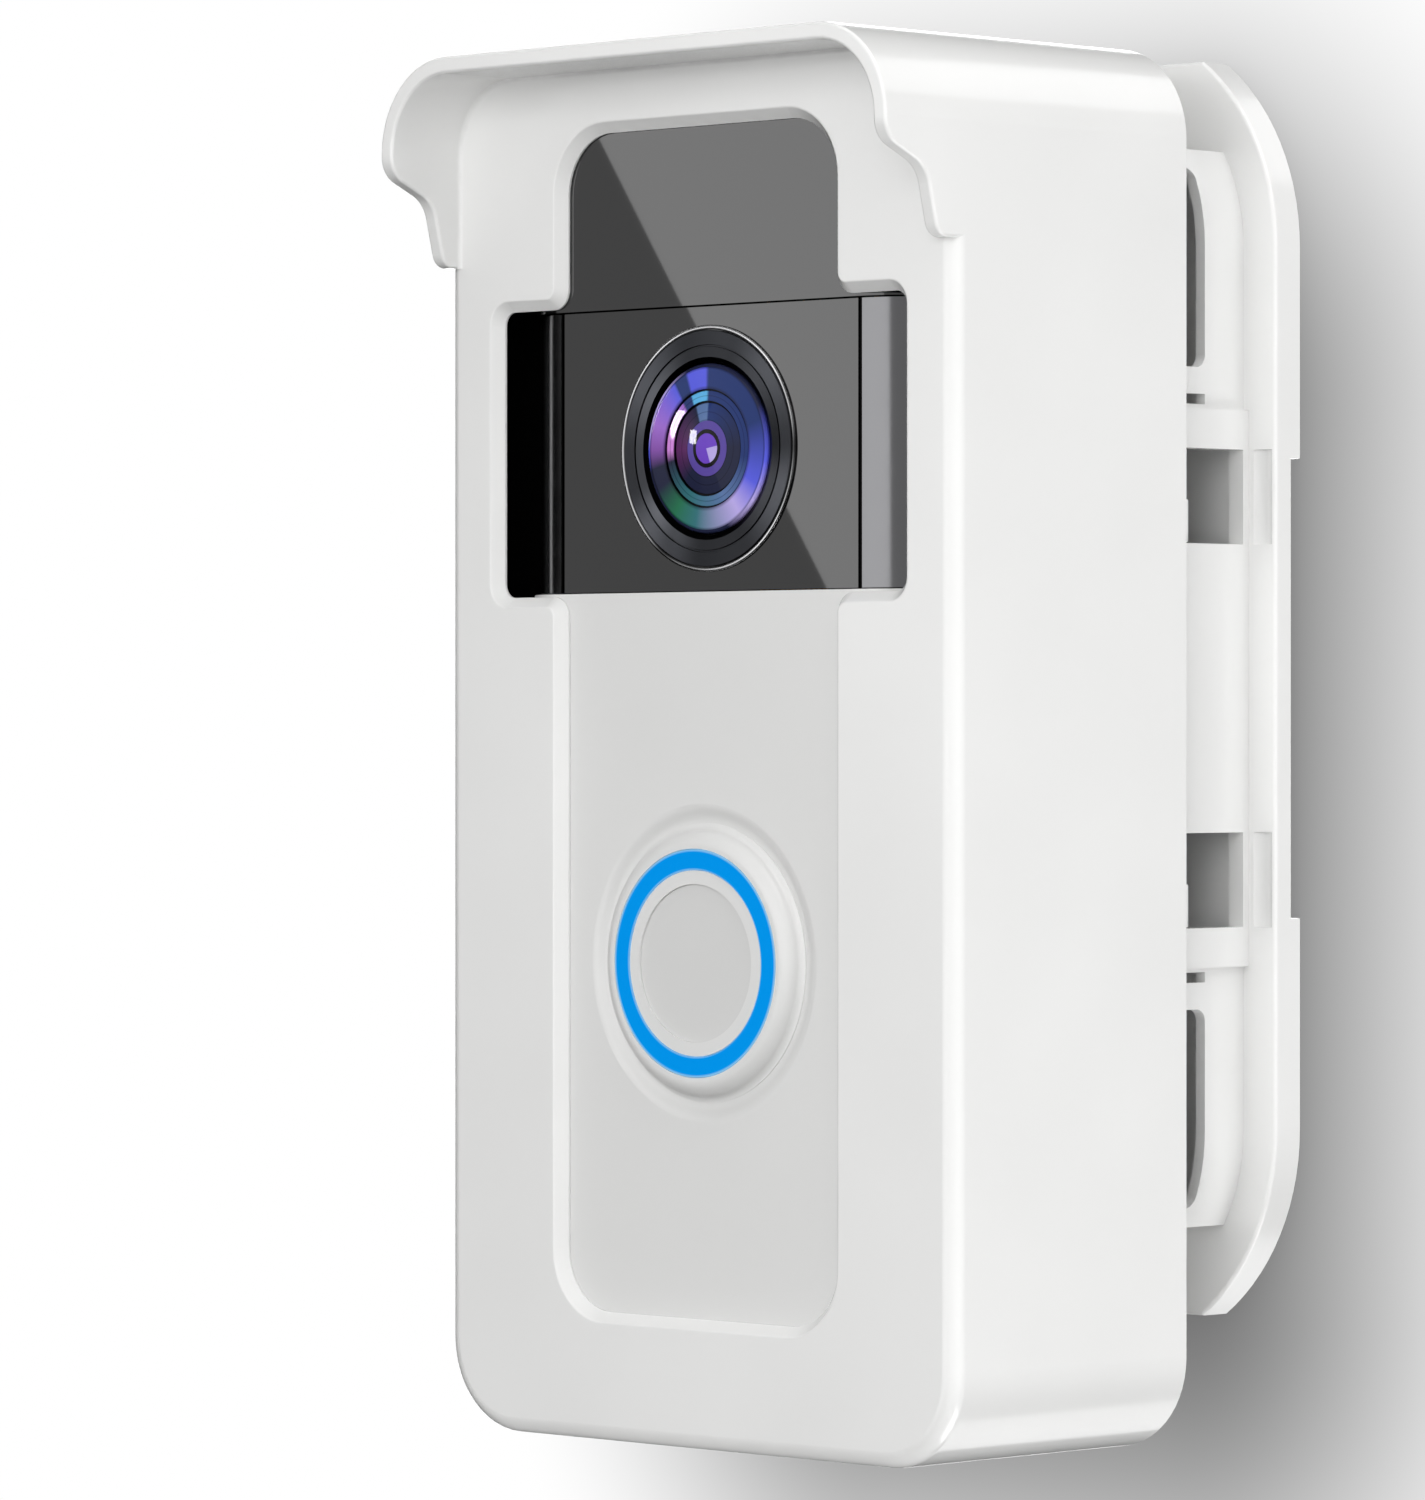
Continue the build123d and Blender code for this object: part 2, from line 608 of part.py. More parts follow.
def front_shell(foot, top, front_y):
    """Stretch of the doorbell's hollow front between two heights."""
    inner_y = front_y + BELL_SKIN
    outer = prism(bell_outline(), front_y, GASKET_Y)
    inner = prism(bell_outline(BELL_SKIN), inner_y, GASKET_Y)
    start = Pos(0, 0, BELL_Z - BELL_H)
    outer &= extrude(start * bell_section(front_y), amount=2 * BELL_H)
    inner &= extrude(start * bell_section(inner_y, BELL_SKIN), amount=2 * BELL_H)
    shell = outer - inner
    return shell & slab((-BELL_W, BELL_W), (front_y, GASKET_Y), (foot, top))


def case_screw_places(ends):
    rise = BELL_H / 2 - CASE_SCREW_END
    return [(side * CASE_SCREW_X, BELL_Z + end * rise) for side in (-1, 1) for end in ends]


def screw_boss(x, z):
    """Post in a front shell that takes a case screw."""
    return ring(CASE_BOSS_D, CASE_SCREW_D, BELL_INNER_Y, GASKET_Y, x, z)


def button_moat():
    """Shallow dished ring around the button, cut in the faceplate."""
    outer = MOAT_D / 2
    low = COLLAR_FOOT_Y
    brow, foot = (outer, BELL_Y), (outer - MOAT_SLOPE_W, low)
    halfway = (outer - MOAT_SLOPE_W / 2, BELL_Y + MOAT_DEPTH / 2)
    slope = TangentArc(brow, halfway, tangent=(-1, 0)) + TangentArc(foot, halfway, tangent=(1, 0))
    floor = Polyline(foot, (0, low), (0, BELL_Y), brow)
    return turned(slope + floor, 0, BUTTON_Z)


def faceplate():
    """Pale lower front of the doorbell, which carries the button and speaker."""
    plate = front_shell(BELL_Z - BELL_H, WINDOW_FOOT_Z - SEAM / 2, BELL_Y)
    for x, z in case_screw_places([-1]):
        plate += screw_boss(x, z)
    for x, z in button_post_places():
        plate += disc(BUTTON_POST_D, BELL_INNER_Y, BUTTON_BOARD_Y, x, z)
    cup_d = SPEAKER_D + 2 * FIT
    cup = ring(cup_d + 2 * SPEAKER_WALL, cup_d, BELL_INNER_Y, SPEAKER_Y + SPEAKER_T / 2, 0, SPEAKER_Z)
    plate += cup & prism(bell_outline(BELL_SKIN / 2), BELL_Y, GASKET_Y)
    plate -= button_moat()
    return plate - disc(COLLAR_NECK_D + 2 * FIT, BELL_Y, COLLAR_END_Y, 0, BUTTON_Z)


def upper_panel():
    """Black upper front of the doorbell."""
    panel = front_shell(WINDOW_TOP_Z + SEAM / 2, BELL_Z + BELL_H, BELL_Y)
    for x, z in case_screw_places([1]):
        panel += screw_boss(x, z)
    return panel


def camera_surround():
    """Black middle front: two rolled flanks and the wall behind the window."""
    foot = WINDOW_FOOT_Z + SEAM / 2
    top = WINDOW_TOP_Z - SEAM / 2
    body = front_shell(foot, top, CAMERA_Y)
    pocket_x = WINDOW_W / 2 + WINDOW_GAP
    web_x = BELL_W / 2 - BELL_FLANK_R
    body += slab((-web_x, web_x), (CAMERA_Y, CAMERA_WALL_Y + CAMERA_WALL), (foot, top))
    body -= slab((-pocket_x, pocket_x), (CAMERA_Y, CAMERA_WALL_Y), (foot, top))
    for x in (-IR_POST_X, IR_POST_X):
        body += disc(IR_POST_D, CAMERA_WALL_Y, IR_BOARD_Y, x, CAMERA_Z)
    for x, z in ir_led_places():
        body -= disc(IR_LED_D + 2 * FIT, CAMERA_WALL_Y, CAMERA_WALL_Y + CAMERA_WALL, x, z)
    neck = BEZEL_NECK_D + 2 * FIT
    return body - disc(neck, CAMERA_WALL_Y, CAMERA_WALL_Y + CAMERA_WALL, 0, CAMERA_Z)


def camera_window():
    """Flat tinted window, level with the flanks beside it."""
    foot = WINDOW_FOOT_Z + SEAM / 2
    top = WINDOW_TOP_Z - SEAM / 2
    pane = slab((-WINDOW_W / 2, WINDOW_W / 2), (CAMERA_Y, CAMERA_WALL_Y), (foot, top))
    return pane - disc(BEZEL_NECK_D + 2 * FIT, CAMERA_Y, CAMERA_WALL_Y, 0, CAMERA_Z)


def rear_case():
    """Black tray that closes the doorbell from behind."""
    tray = prism(bell_outline(), CASE_Y, BELL_BACK_Y)
    tray = fillet(edges_at(tray, BELL_BACK_Y), BELL_BACK_R)
    tray -= prism(bell_outline(BELL_SKIN), CASE_Y, FLOOR_Y)
    for x, z in case_screw_places([-1, 1]):
        tray += disc(CASE_POST_D, CASE_Y, FLOOR_Y, x, z)
        tray -= disc(CASE_SCREW_D + 2 * SCREW_CLEAR, CASE_Y, BELL_BACK_Y, x, z)
        tray -= disc(CASE_SINK_D, BELL_BACK_Y - CASE_SCREW_SINK, BELL_BACK_Y, x, z)
    for x, z in board_screw_places():
        tray += disc(BOARD_POST_D, MAIN_BOARD_BACK_Y, FLOOR_Y, x, z)
        pilot = MAIN_BOARD_BACK_Y + BOARD_SCREW_L - MAIN_BOARD_T
        tray -= disc(BOARD_SCREW_D, MAIN_BOARD_BACK_Y, pilot, x, z)
    for x in (-TERMINAL_X, TERMINAL_X):
        hole_d = TERMINAL_SCREW_D + 2 * SCREW_CLEAR
        tray -= disc(hole_d, FLOOR_Y, BELL_BACK_Y, x, POWER_Z)
    hole = Rectangle(PORT_W + 2 * FIT, PORT_H + 2 * FIT)
    return tray - prism(Pos(0, POWER_Z) * hole, FLOOR_Y, BELL_BACK_Y)


def case_gasket():
    """Silicone ring between the front shells and the rear case."""
    band = bell_outline(GASKET_INSET) - bell_outline(BELL_SKIN - GASKET_INSET)
    return prism(band, GASKET_Y, CASE_Y)


def case_screws():
    """Screws from the rear case into the front shells."""
    seat = BELL_BACK_Y - CASE_SCREW_SINK
    length = seat - GASKET_Y + FRONT_SHELL_D / 2
    parts = []
    for x, z in case_screw_places([-1, 1]):
        parts.append(
            screw(CASE_SCREW_D, length, CASE_SCREW_HEAD_D, CASE_SCREW_HEAD_T, seat, x, z, -1)
        )
    return Compound(parts)


# Camera pieces
def lens_trim():
    """Bright hoop round the lens bezel."""
    return ring(TRIM_D, TRIM_D - 2 * TRIM_W, CAMERA_Y - BEZEL_PROUD, CAMERA_Y, 0, CAMERA_Z)


def lens_bezel():
    """Black funnel in front of the lens, with a neck through the window."""
    outer = TRIM_D / 2 - TRIM_W - FIT
    bore = LENS_D / 2 + FIT
    profile = Polyline(
        (outer, CAMERA_Y),
        (outer, CAMERA_Y - BEZEL_PROUD),
        (BEZEL_LIP_D / 2, CAMERA_Y - BEZEL_PROUD),
        (bore, CAMERA_Y + LENS_SET - FIT),
        (bore, BEZEL_END_Y),
        (BEZEL_NECK_D / 2, BEZEL_END_Y),
        (BEZEL_NECK_D / 2, CAMERA_Y),
        close=True,
    )
    return turned(profile, 0, CAMERA_Z)


def dome(diameter, crown, y, z):
    """Ball whose cap of the given height and diameter has its top at depth y."""
    radius = ((diameter / 2) ** 2 + crown**2) / (2 * crown)
    return Pos(0, y + radius, z) * Sphere(radius)


def front_lens():
    """Domed front glass, hollow behind."""
    top = CAMERA_Y + LENS_SET - LENS_CROWN
    glass = disc(LENS_D, top, LENS_BACK_Y, 0, CAMERA_Z)
    glass &= dome(LENS_D, LENS_CROWN, top, CAMERA_Z)
    return glass - dome(BARREL_STEPS[0], LENS_HOLLOW, LENS_BACK_Y - LENS_HOLLOW, CAMERA_Z)


def step_depth(count):
    """Depth of the barrel after a number of steps."""
    return LENS_BACK_Y + count * BARREL_STEP_L


def lens_barrel():
    """Stepped tube that carries the lenses over the image sensor."""
    barrel = disc(LENS_D, LENS_BACK_Y, CAMERA_BOARD_Y, 0, CAMERA_Z)
    for count, step in enumerate(BARREL_STEPS):
        end = APERTURE_Y if count == len(BARREL_STEPS) - 1 else step_depth(count + 1)
        barrel -= disc(step, step_depth(count), end, 0, CAMERA_Z)
    barrel -= disc(APERTURE_D, APERTURE_Y, SENSOR_ROOM_Y, 0, CAMERA_Z)
    return barrel - disc(SENSOR_ROOM_D, SENSOR_ROOM_Y, CAMERA_BOARD_Y, 0, CAMERA_Z)


def inner_lens():
    """Second lens, resting against the aperture wall."""
    width = BARREL_STEPS[-1] - FIT
    top = APERTURE_Y - INNER_LENS_T - INNER_LENS_CROWN
    glass = disc(width, top, APERTURE_Y, 0, CAMERA_Z)
    return glass & dome(width, INNER_LENS_CROWN, top, CAMERA_Z)


def image_sensor():
    """Sensor chip in the barrel's rear room."""
    width, height, thick = SENSOR_SIZE
    return slab(
        (-width / 2, width / 2),
        (CAMERA_BOARD_Y - thick, CAMERA_BOARD_Y),
        (CAMERA_Z - height / 2, CAMERA_Z + height / 2),
    )


def camera_board():
    width, height, thick = CAMERA_BOARD
    return slab(
        (-width / 2, width / 2),
        (CAMERA_BOARD_Y, CAMERA_BOARD_Y + thick),
        (CAMERA_Z - height / 2, CAMERA_Z + height / 2),
    )


def lens_seal():
    """Silicone washer between the bezel's neck and the lamp board."""
    bore = LENS_D + 2 * LENS_SEAL_CLEAR
    return ring(BEZEL_NECK_D - 2 * FIT, bore, BEZEL_END_Y, IR_BOARD_Y, 0, CAMERA_Z)


def ir_led_places():
    return [(x, CAMERA_Z + z) for x in (-IR_LED_X, IR_LED_X) for z in (-IR_LED_Z, IR_LED_Z)]


def ir_board():
    """Board round the barrel that carries the night-vision lamps."""
    depth = (IR_BOARD_Y, IR_BOARD_Y + IR_BOARD_T)
    board = slab(
        (-IR_BOARD_W / 2, IR_BOARD_W / 2),
        depth,
        (CAMERA_Z - IR_BOARD_H / 2, CAMERA_Z + IR_BOARD_H / 2),
    )
    return board - disc(LENS_D + 2 * IR_BOARD_CLEAR, *depth, 0, CAMERA_Z)


def ir_leds():
    """Night-vision lamps."""
    return Compound([disc(IR_LED_D, IR_BOARD_Y - IR_LED_H, IR_BOARD_Y, x, z) for x, z in ir_led_places()])


# Button pieces
def button_post_places():
    half = BUTTON_POST_PITCH / 2
    return [(x, BUTTON_Z + z) for x in (-half, half) for z in (-half, half)]


def button_collar():
    """Pale swelling collar that stands out of the dished ring and runs out on its floor."""
    bore = RING_D / 2 + FIT
    rim = (bore + BEZEL_RIM_W, RING_Y)
    foot = (MOAT_D / 2 - MOAT_SLOPE_W, COLLAR_FOOT_Y - COLLAR_LIP)
    turn = tuple(a + (b - a) * COLLAR_SWELL for a, b in zip(rim, foot))
    slope = TangentArc(rim, turn, tangent=(1, 0)) + TangentArc(foot, turn, tangent=(-1, 0))
    inside = Polyline(
        rim,
        (bore, RING_Y),
        (bore, COLLAR_END_Y),
        (COLLAR_NECK_D / 2, COLLAR_END_Y),
        (COLLAR_NECK_D / 2, COLLAR_FOOT_Y),
        (foot[0], COLLAR_FOOT_Y),
        foot,
    )
    return turned(slope + inside, 0, BUTTON_Z)


def light_ring():
    """Clear blue ring that pipes the lamps' light round the button."""
    tube = ring(RING_D, RING_D - 2 * RING_W, RING_Y, RING_END_Y, 0, BUTTON_Z)
    ledge_bore = RING_D - 2 * RING_W - 2 * SEAL_LEDGE_W
    return tube + ring(RING_D - RING_W, ledge_bore, SEAL_Y + SEAL_T, RING_END_Y, 0, BUTTON_Z)


def button_cap():
    """Push button with a shallow dish, a guide skirt and a stem."""
    cap = disc(BUTTON_D, CAP_Y, CAP_Y + BUTTON_T, 0, BUTTON_Z)
    cap -= disc(BUTTON_DISH_D, CAP_Y, CAP_Y + BUTTON_DISH, 0, BUTTON_Z)
    skirt_d = BUTTON_D - 2 * BUTTON_SKIRT_W
    cap += ring(BUTTON_D, skirt_d, CAP_Y, CAP_Y + BUTTON_SKIRT_L, 0, BUTTON_Z) - disc(
        BUTTON_DISH_D, CAP_Y, CAP_Y + BUTTON_DISH, 0, BUTTON_Z
    )
    return cap + disc(STEM_D, CAP_Y + BUTTON_T, STEM_END_Y, 0, BUTTON_Z)


def switch_plunger():
    """Moving pin of the switch, under the stem."""
    return disc(PLUNGER_D, STEM_END_Y, STEM_END_Y + PLUNGER_L, 0, BUTTON_Z)


def button_seal():
    """Soft membrane that keeps rain out round the stem."""
    outer = RING_D - 2 * RING_W - 2 * FIT
    return ring(outer, STEM_D + 2 * FIT, SEAL_Y, SEAL_Y + SEAL_T, 0, BUTTON_Z)


def button_switch():
    """Push switch on the button board."""
    half = SWITCH_SIZE / 2
    body = slab((-half, half), (SWITCH_Y, BUTTON_BOARD_Y), (BUTTON_Z - half, BUTTON_Z + half))
    return body - disc(PLUNGER_D + 2 * FIT, SWITCH_Y, SWITCH_Y + PLUNGER_ROOM, 0, BUTTON_Z)


def button_board():
    half = BUTTON_BOARD / 2
    depth = (BUTTON_BOARD_Y, BUTTON_BOARD_Y + BUTTON_BOARD_T)
    return slab((-half, half), depth, (BUTTON_Z - half, BUTTON_Z + half))


def ring_leds():
    """Lamps under the light ring."""
    width, tall, height = RING_LED
    radius = (RING_D - RING_W) / 2
    lamps = []
    for count in range(RING_LED_COUNT):
        angle = radians(360 * (count + 0.5) / RING_LED_COUNT)
        x = radius * cos(angle)
        z = BUTTON_Z + radius * sin(angle)
        depth = (BUTTON_BOARD_Y - tall, BUTTON_BOARD_Y)
        lamps.append(slab((x - width / 2, x + width / 2), depth, (z - height / 2, z + height / 2)))
    return Compound(lamps)


# Boards, battery and sound
def board_screw_places():
    ends = (MAIN_FOOT_Z + BOARD_POST_INSET, MAIN_TOP_Z - BOARD_POST_INSET)
    return [(side * BOARD_SCREW_X, z) for side in (-1, 1) for z in ends]


def main_board():
    half = MAIN_BOARD_W / 2
    board = slab((-half, half), (MAIN_BOARD_Y, MAIN_BOARD_BACK_Y), (MAIN_FOOT_Z, MAIN_TOP_Z))
    for x, z in board_screw_places():
        board -= disc(BOARD_SCREW_D + 2 * SCREW_CLEAR, MAIN_BOARD_Y, MAIN_BOARD_BACK_Y, x, z)
    return board


def board_screws():
    """Screws that hold the main board on the rear case."""
    parts = []
    for x, z in board_screw_places():
        parts.append(
            screw(BOARD_SCREW_D, BOARD_SCREW_L, BOARD_SCREW_HEAD_D, BOARD_SCREW_HEAD_T, MAIN_BOARD_Y, x, z)
        )
    return Compound(parts)


def shield_can():
    """Tinned lid over the processor and radio."""
    width, tall, height = SHIELD
    top = MAIN_TOP_Z - SHIELD_TOP_GAP
    return slab((-width / 2, width / 2), (MAIN_BOARD_Y - tall, MAIN_BOARD_Y), (top - height, top))


def board_connector():
    """Plug between the button board and the main board."""
    half_w, half_h = CONNECTOR_W / 2, CONNECTOR_H / 2
    depth = (BUTTON_BOARD_Y + BUTTON_BOARD_T, MAIN_BOARD_Y)
    z = BUTTON_Z + BUTTON_BOARD / 4
    return slab((-half_w, half_w), depth, (z - half_h, z + half_h))


def microphone():
    """Capsule on the main board."""
    z = MAIN_FOOT_Z + BOARD_POST_INSET
    return disc(MIC_D, MAIN_BOARD_Y - MIC_T, MAIN_BOARD_Y, MIC_X, z)


def battery():
    """Flat rechargeable pack on the rear case's floor."""
    half_w, half_h = BATTERY_W / 2, BATTERY_H / 2
    z = BELL_Z - BATTERY_DROP
    return slab((-half_w, half_w), (FLOOR_Y - BATTERY_T, FLOOR_Y), (z - half_h, z + half_h))


def ribbon_cable():
    """Flat cable from the camera board to the main board."""
    half = RIBBON_W / 2
    span = (MAIN_TOP_Z - RIBBON_LAP, CAMERA_Z - CAMERA_BOARD[1] / 2 + RIBBON_LAP)
    back = CAMERA_BOARD_Y + CAMERA_BOARD[2]
    lower = slab((-half, half), (MAIN_BOARD_BACK_Y, MAIN_BOARD_BACK_Y + RIBBON_T), (span[0], MAIN_TOP_Z))
    upper = slab((-half, half), (back, back + RIBBON_T), (MAIN_TOP_Z, span[1]))
    step = sorted((MAIN_BOARD_BACK_Y, back))
    riser = slab((-half, half), (step[0], step[1] + RIBBON_T), (MAIN_TOP_Z, MAIN_TOP_Z + RIBBON_T))
    return lower + upper + riser


def speaker():
    """Round driver behind the faceplate."""
    return disc(SPEAKER_D, SPEAKER_Y, SPEAKER_Y + SPEAKER_T, 0, SPEAKER_Z)


def speaker_gasket():
    bore = SPEAKER_D - 2 * SPEAKER_GASKET_W
    return ring(SPEAKER_D, bore, BELL_INNER_Y, SPEAKER_Y, 0, SPEAKER_Z)


def antenna():
    """Foil antenna under the upper panel."""
    width, thick, height = ANTENNA
    middle = (WINDOW_TOP_Z + BELL_Z + BELL_H / 2 - BELL_SKIN) / 2
    depth = (BELL_INNER_Y, BELL_INNER_Y + thick)
    return slab((-width / 2, width / 2), depth, (middle - height / 2, middle + height / 2))


def power_board():
    """Board that carries the charging port and the wire terminals."""
    width, thick, height = POWER_BOARD
    return slab(
        (-width / 2, width / 2),
        (POWER_Y - thick, POWER_Y),
        (POWER_Z - height / 2, POWER_Z + height / 2),
    )


def terminal_posts():
    """Threaded posts between the rear case's floor and the power board."""
    bore = (FLOOR_Y - TERMINAL_SCREW_L + BELL_SKIN, FLOOR_Y)
    posts = []
    for x in (-TERMINAL_X, TERMINAL_X):
        post = disc(TERMINAL_D, POWER_Y, FLOOR_Y, x, POWER_Z)
        posts.append(post - disc(TERMINAL_SCREW_D, *bore, x, POWER_Z))
    return Compound(posts)


def terminal_screws():
    """Screws on the doorbell's back for wiring."""
    parts = []
    for x in (-TERMINAL_X, TERMINAL_X):
        parts.append(
            screw(
                TERMINAL_SCREW_D,
                TERMINAL_SCREW_L,
                TERMINAL_HEAD_D,
                TERMINAL_HEAD_T,
                BELL_BACK_Y,
                x,
                POWER_Z,
                -1,
            )
        )
    return Compound(parts)


def charge_port():
    """Metal charging socket in the rear case."""
    hole = RectangleRounded(PORT_W - 2 * PORT_WALL, PORT_H - 2 * PORT_WALL, PORT_WALL)
    body = RectangleRounded(PORT_W, PORT_H, 2 * PORT_WALL)
    end = BELL_BACK_Y - PORT_SET
    port = prism(Pos(0, POWER_Z) * body, POWER_Y, end)
    return port - prism(Pos(0, POWER_Z) * hole, POWER_Y + PORT_H, end)


NODES = [
    wall_plate,
    adhesive_pad,
    housing_shell,
    rear_cover,
    cover_screws,
    foam_pads,
    faceplate,
    upper_panel,
    camera_surround,
    camera_window,
    rear_case,
    case_gasket,
    case_screws,
    lens_trim,
    lens_bezel,
    front_lens,
    lens_barrel,
    inner_lens,
    image_sensor,
    camera_board,
    lens_seal,
    ir_board,
    ir_leds,
    button_collar,
    light_ring,
    button_cap,
    switch_plunger,
    button_seal,
    button_switch,
    button_board,
    ring_leds,
    main_board,
    board_screws,
    shield_can,
    board_connector,
    microphone,
    battery,
    ribbon_cable,
    speaker,
    speaker_gasket,
    antenna,
    power_board,
    terminal_posts,
    terminal_screws,
    charge_port,
]

os.makedirs("parts", exist_ok=True)
for node in NODES:
    export_step(node(), f"parts/{node.__name__}.step")
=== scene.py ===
import math
from functools import partial

import bmesh
import bpy
from bpy.props import FloatProperty, FloatVectorProperty, PointerProperty
from mathutils import Matrix, Vector


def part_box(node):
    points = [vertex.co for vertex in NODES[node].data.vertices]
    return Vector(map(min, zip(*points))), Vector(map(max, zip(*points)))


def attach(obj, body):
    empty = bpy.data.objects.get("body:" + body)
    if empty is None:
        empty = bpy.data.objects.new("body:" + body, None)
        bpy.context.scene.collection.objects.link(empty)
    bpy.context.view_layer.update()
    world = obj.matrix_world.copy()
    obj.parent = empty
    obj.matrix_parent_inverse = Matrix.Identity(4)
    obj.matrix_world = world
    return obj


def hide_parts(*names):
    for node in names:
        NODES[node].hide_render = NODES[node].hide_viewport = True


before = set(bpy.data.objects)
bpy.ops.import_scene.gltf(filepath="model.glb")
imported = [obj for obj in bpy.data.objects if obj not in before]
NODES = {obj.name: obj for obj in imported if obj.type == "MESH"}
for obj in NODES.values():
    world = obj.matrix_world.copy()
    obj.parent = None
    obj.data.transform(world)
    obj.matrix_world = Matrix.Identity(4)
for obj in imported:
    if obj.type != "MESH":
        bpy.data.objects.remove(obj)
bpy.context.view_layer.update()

bl_info = {
    "name": "Video doorbell in a guard housing",
    "version": (1, 0, 0),
    "blender": (4, 5, 0),
    "location": "3D View > Sidebar > Doorbell",
    "description": "Dresses the packed doorbell, its housing and its wall plate, and sets the studio",
    "category": "Object",
}

MM = 0.001
# Points nearer to each other than this are one point
WELD = 0.0005 * MM
# How the doorbell's pale plastic was moulded
PALE_SKIN = {"roughness": 0.34, "grain": 0.2 * MM, "relief": 0.0015 * MM, "ior": 1.56, "drift": 0.985}


def linear(code):
    """sRGB hex colour as linear red, green, blue and a full alpha."""
    channels = [int(code[i : i + 2], 16) / 255 for i in (1, 3, 5)]
    return tuple(c / 12.92 if c <= 0.04045 else ((c + 0.055) / 1.055) ** 2.4 for c in channels) + (1.0,)


def add_node(tree, kind, inputs=None, stops=None, **settings):
    """Adds a node with its settings, and stops, which are the colours of a ramp.

    Inputs holds values, or what to link: a socket, or a node, which stands for its first output in use.
    """
    node = tree.nodes.new(kind)
    for name, value in settings.items():
        setattr(node, name, value)
    for key, value in (inputs or {}).items():
        for each in value if isinstance(value, list) else [value]:
            if isinstance(each, bpy.types.Node):
                each = next(socket for socket in each.outputs if socket.enabled)
            if isinstance(each, bpy.types.NodeSocket):
                tree.links.new(each, node.inputs[key])
            else:
                node.inputs[key].default_value = each
    for count, (place, colour) in enumerate(stops or []):
        elements = node.color_ramp.elements
        element = elements[count] if count < 2 else elements.new(place)
        element.position = place
        element.color = colour
    return node


def new_material(name):
    """Empty node material, and the function that adds a node to it."""
    material = bpy.data.materials.new(name)
    material.use_nodes = True
    material.node_tree.nodes.clear()
    return material, partial(add_node, material.node_tree)


def end_surface(material, inputs, relief=None, bent=("Normal",)):
    """Ends a material in one principled surface, and hands it back.

    Relief is a height, how strong it shows and how deep it is in metres; it bends the named normals.
    """
    add = partial(add_node, material.node_tree)
    # A metal keeps the default IOR
    if inputs.get("Metallic") == 1.0:
        inputs.pop("IOR", None)
    if relief:
        height, strength, depth = relief
        bump = add("ShaderNodeBump", {"Height": height, "Strength": strength, "Distance": depth})
        inputs.update({name: bump for name in bent})
    surface = add("ShaderNodeBsdfPrincipled", inputs)
    add("ShaderNodeOutputMaterial", {"Surface": surface})
    return material


def dress(material, *names):
    """Gives CAD nodes a material."""
    for name in names:
        NODES[name].data.materials.clear()
        NODES[name].data.materials.append(material)


def middle(name):
    """Centre of a CAD node's box."""
    low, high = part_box(name)
    return (low + high) / 2


def half_width(name):
    """Half of a CAD node's width, which is the radius of a round one."""
    low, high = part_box(name)
    return (high.x - low.x) / 2


def solids(name):
    """Boxes of the separate solids in a CAD node."""
    mesh = bmesh.new()
    mesh.from_mesh(NODES[name].data)
    bmesh.ops.remove_doubles(mesh, verts=mesh.verts, dist=2 * WELD)
    left = set(mesh.verts)
    boxes = []
    while left:
        wave = [left.pop()]
        places = []
        while wave:
            vert = wave.pop()
            places.append(vert.co.copy())
            near = [edge.other_vert(vert) for edge in vert.link_edges]
            wave += [other for other in near if other in left]
            left.difference_update(near)
        boxes.append((Vector(map(min, zip(*places))), Vector(map(max, zip(*places)))))
    mesh.free()
    return boxes


def add_piece(name, mesh, body, slot, *nodes):
    """Puts a finished mesh on a body, in place of CAD nodes."""
    mesh.name = name
    piece = bpy.data.objects.new(name, mesh)
    bpy.context.scene.collection.objects.link(piece)
    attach(piece, body)
    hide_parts(*nodes)
    return piece


def finish_mesh(work, name, material, crease=35):
    """Closes a bmesh into a mesh with its normals outwards, smooth up to a crease in degrees."""
    bmesh.ops.remove_doubles(work, verts=work.verts, dist=WELD)
    bmesh.ops.recalc_face_normals(work, faces=work.faces)
    mesh = bpy.data.meshes.new(name)
    work.to_mesh(mesh)
    work.free()
    mesh.shade_smooth()
    mesh.set_sharp_from_angle(angle=math.radians(crease))
    mesh.materials.append(material)
    return mesh


def turned_mesh(name, profile, centre, material, sides=160):
    """Closed profile of (radius, depth) points in metres turned about an axis along Y."""
    work = bmesh.new()
    hoops = []
    for radius, depth in profile:
        turns = [2 * math.pi * count / sides for count in range(sides)]
        spots = [(centre.x + radius * math.cos(a), depth, centre.z + radius * math.sin(a)) for a in turns]
        hoops.append([work.verts.new(spot) for spot in spots])
    for near, far in zip(hoops, hoops[1:] + hoops[:1]):
        for count in range(sides):
            after = (count + 1) % sides
            work.faces.new((near[count], near[after], far[after], far[count]))
    bmesh.ops.dissolve_degenerate(work, dist=WELD, edges=work.edges)
    return finish_mesh(work, name, material, crease=25)


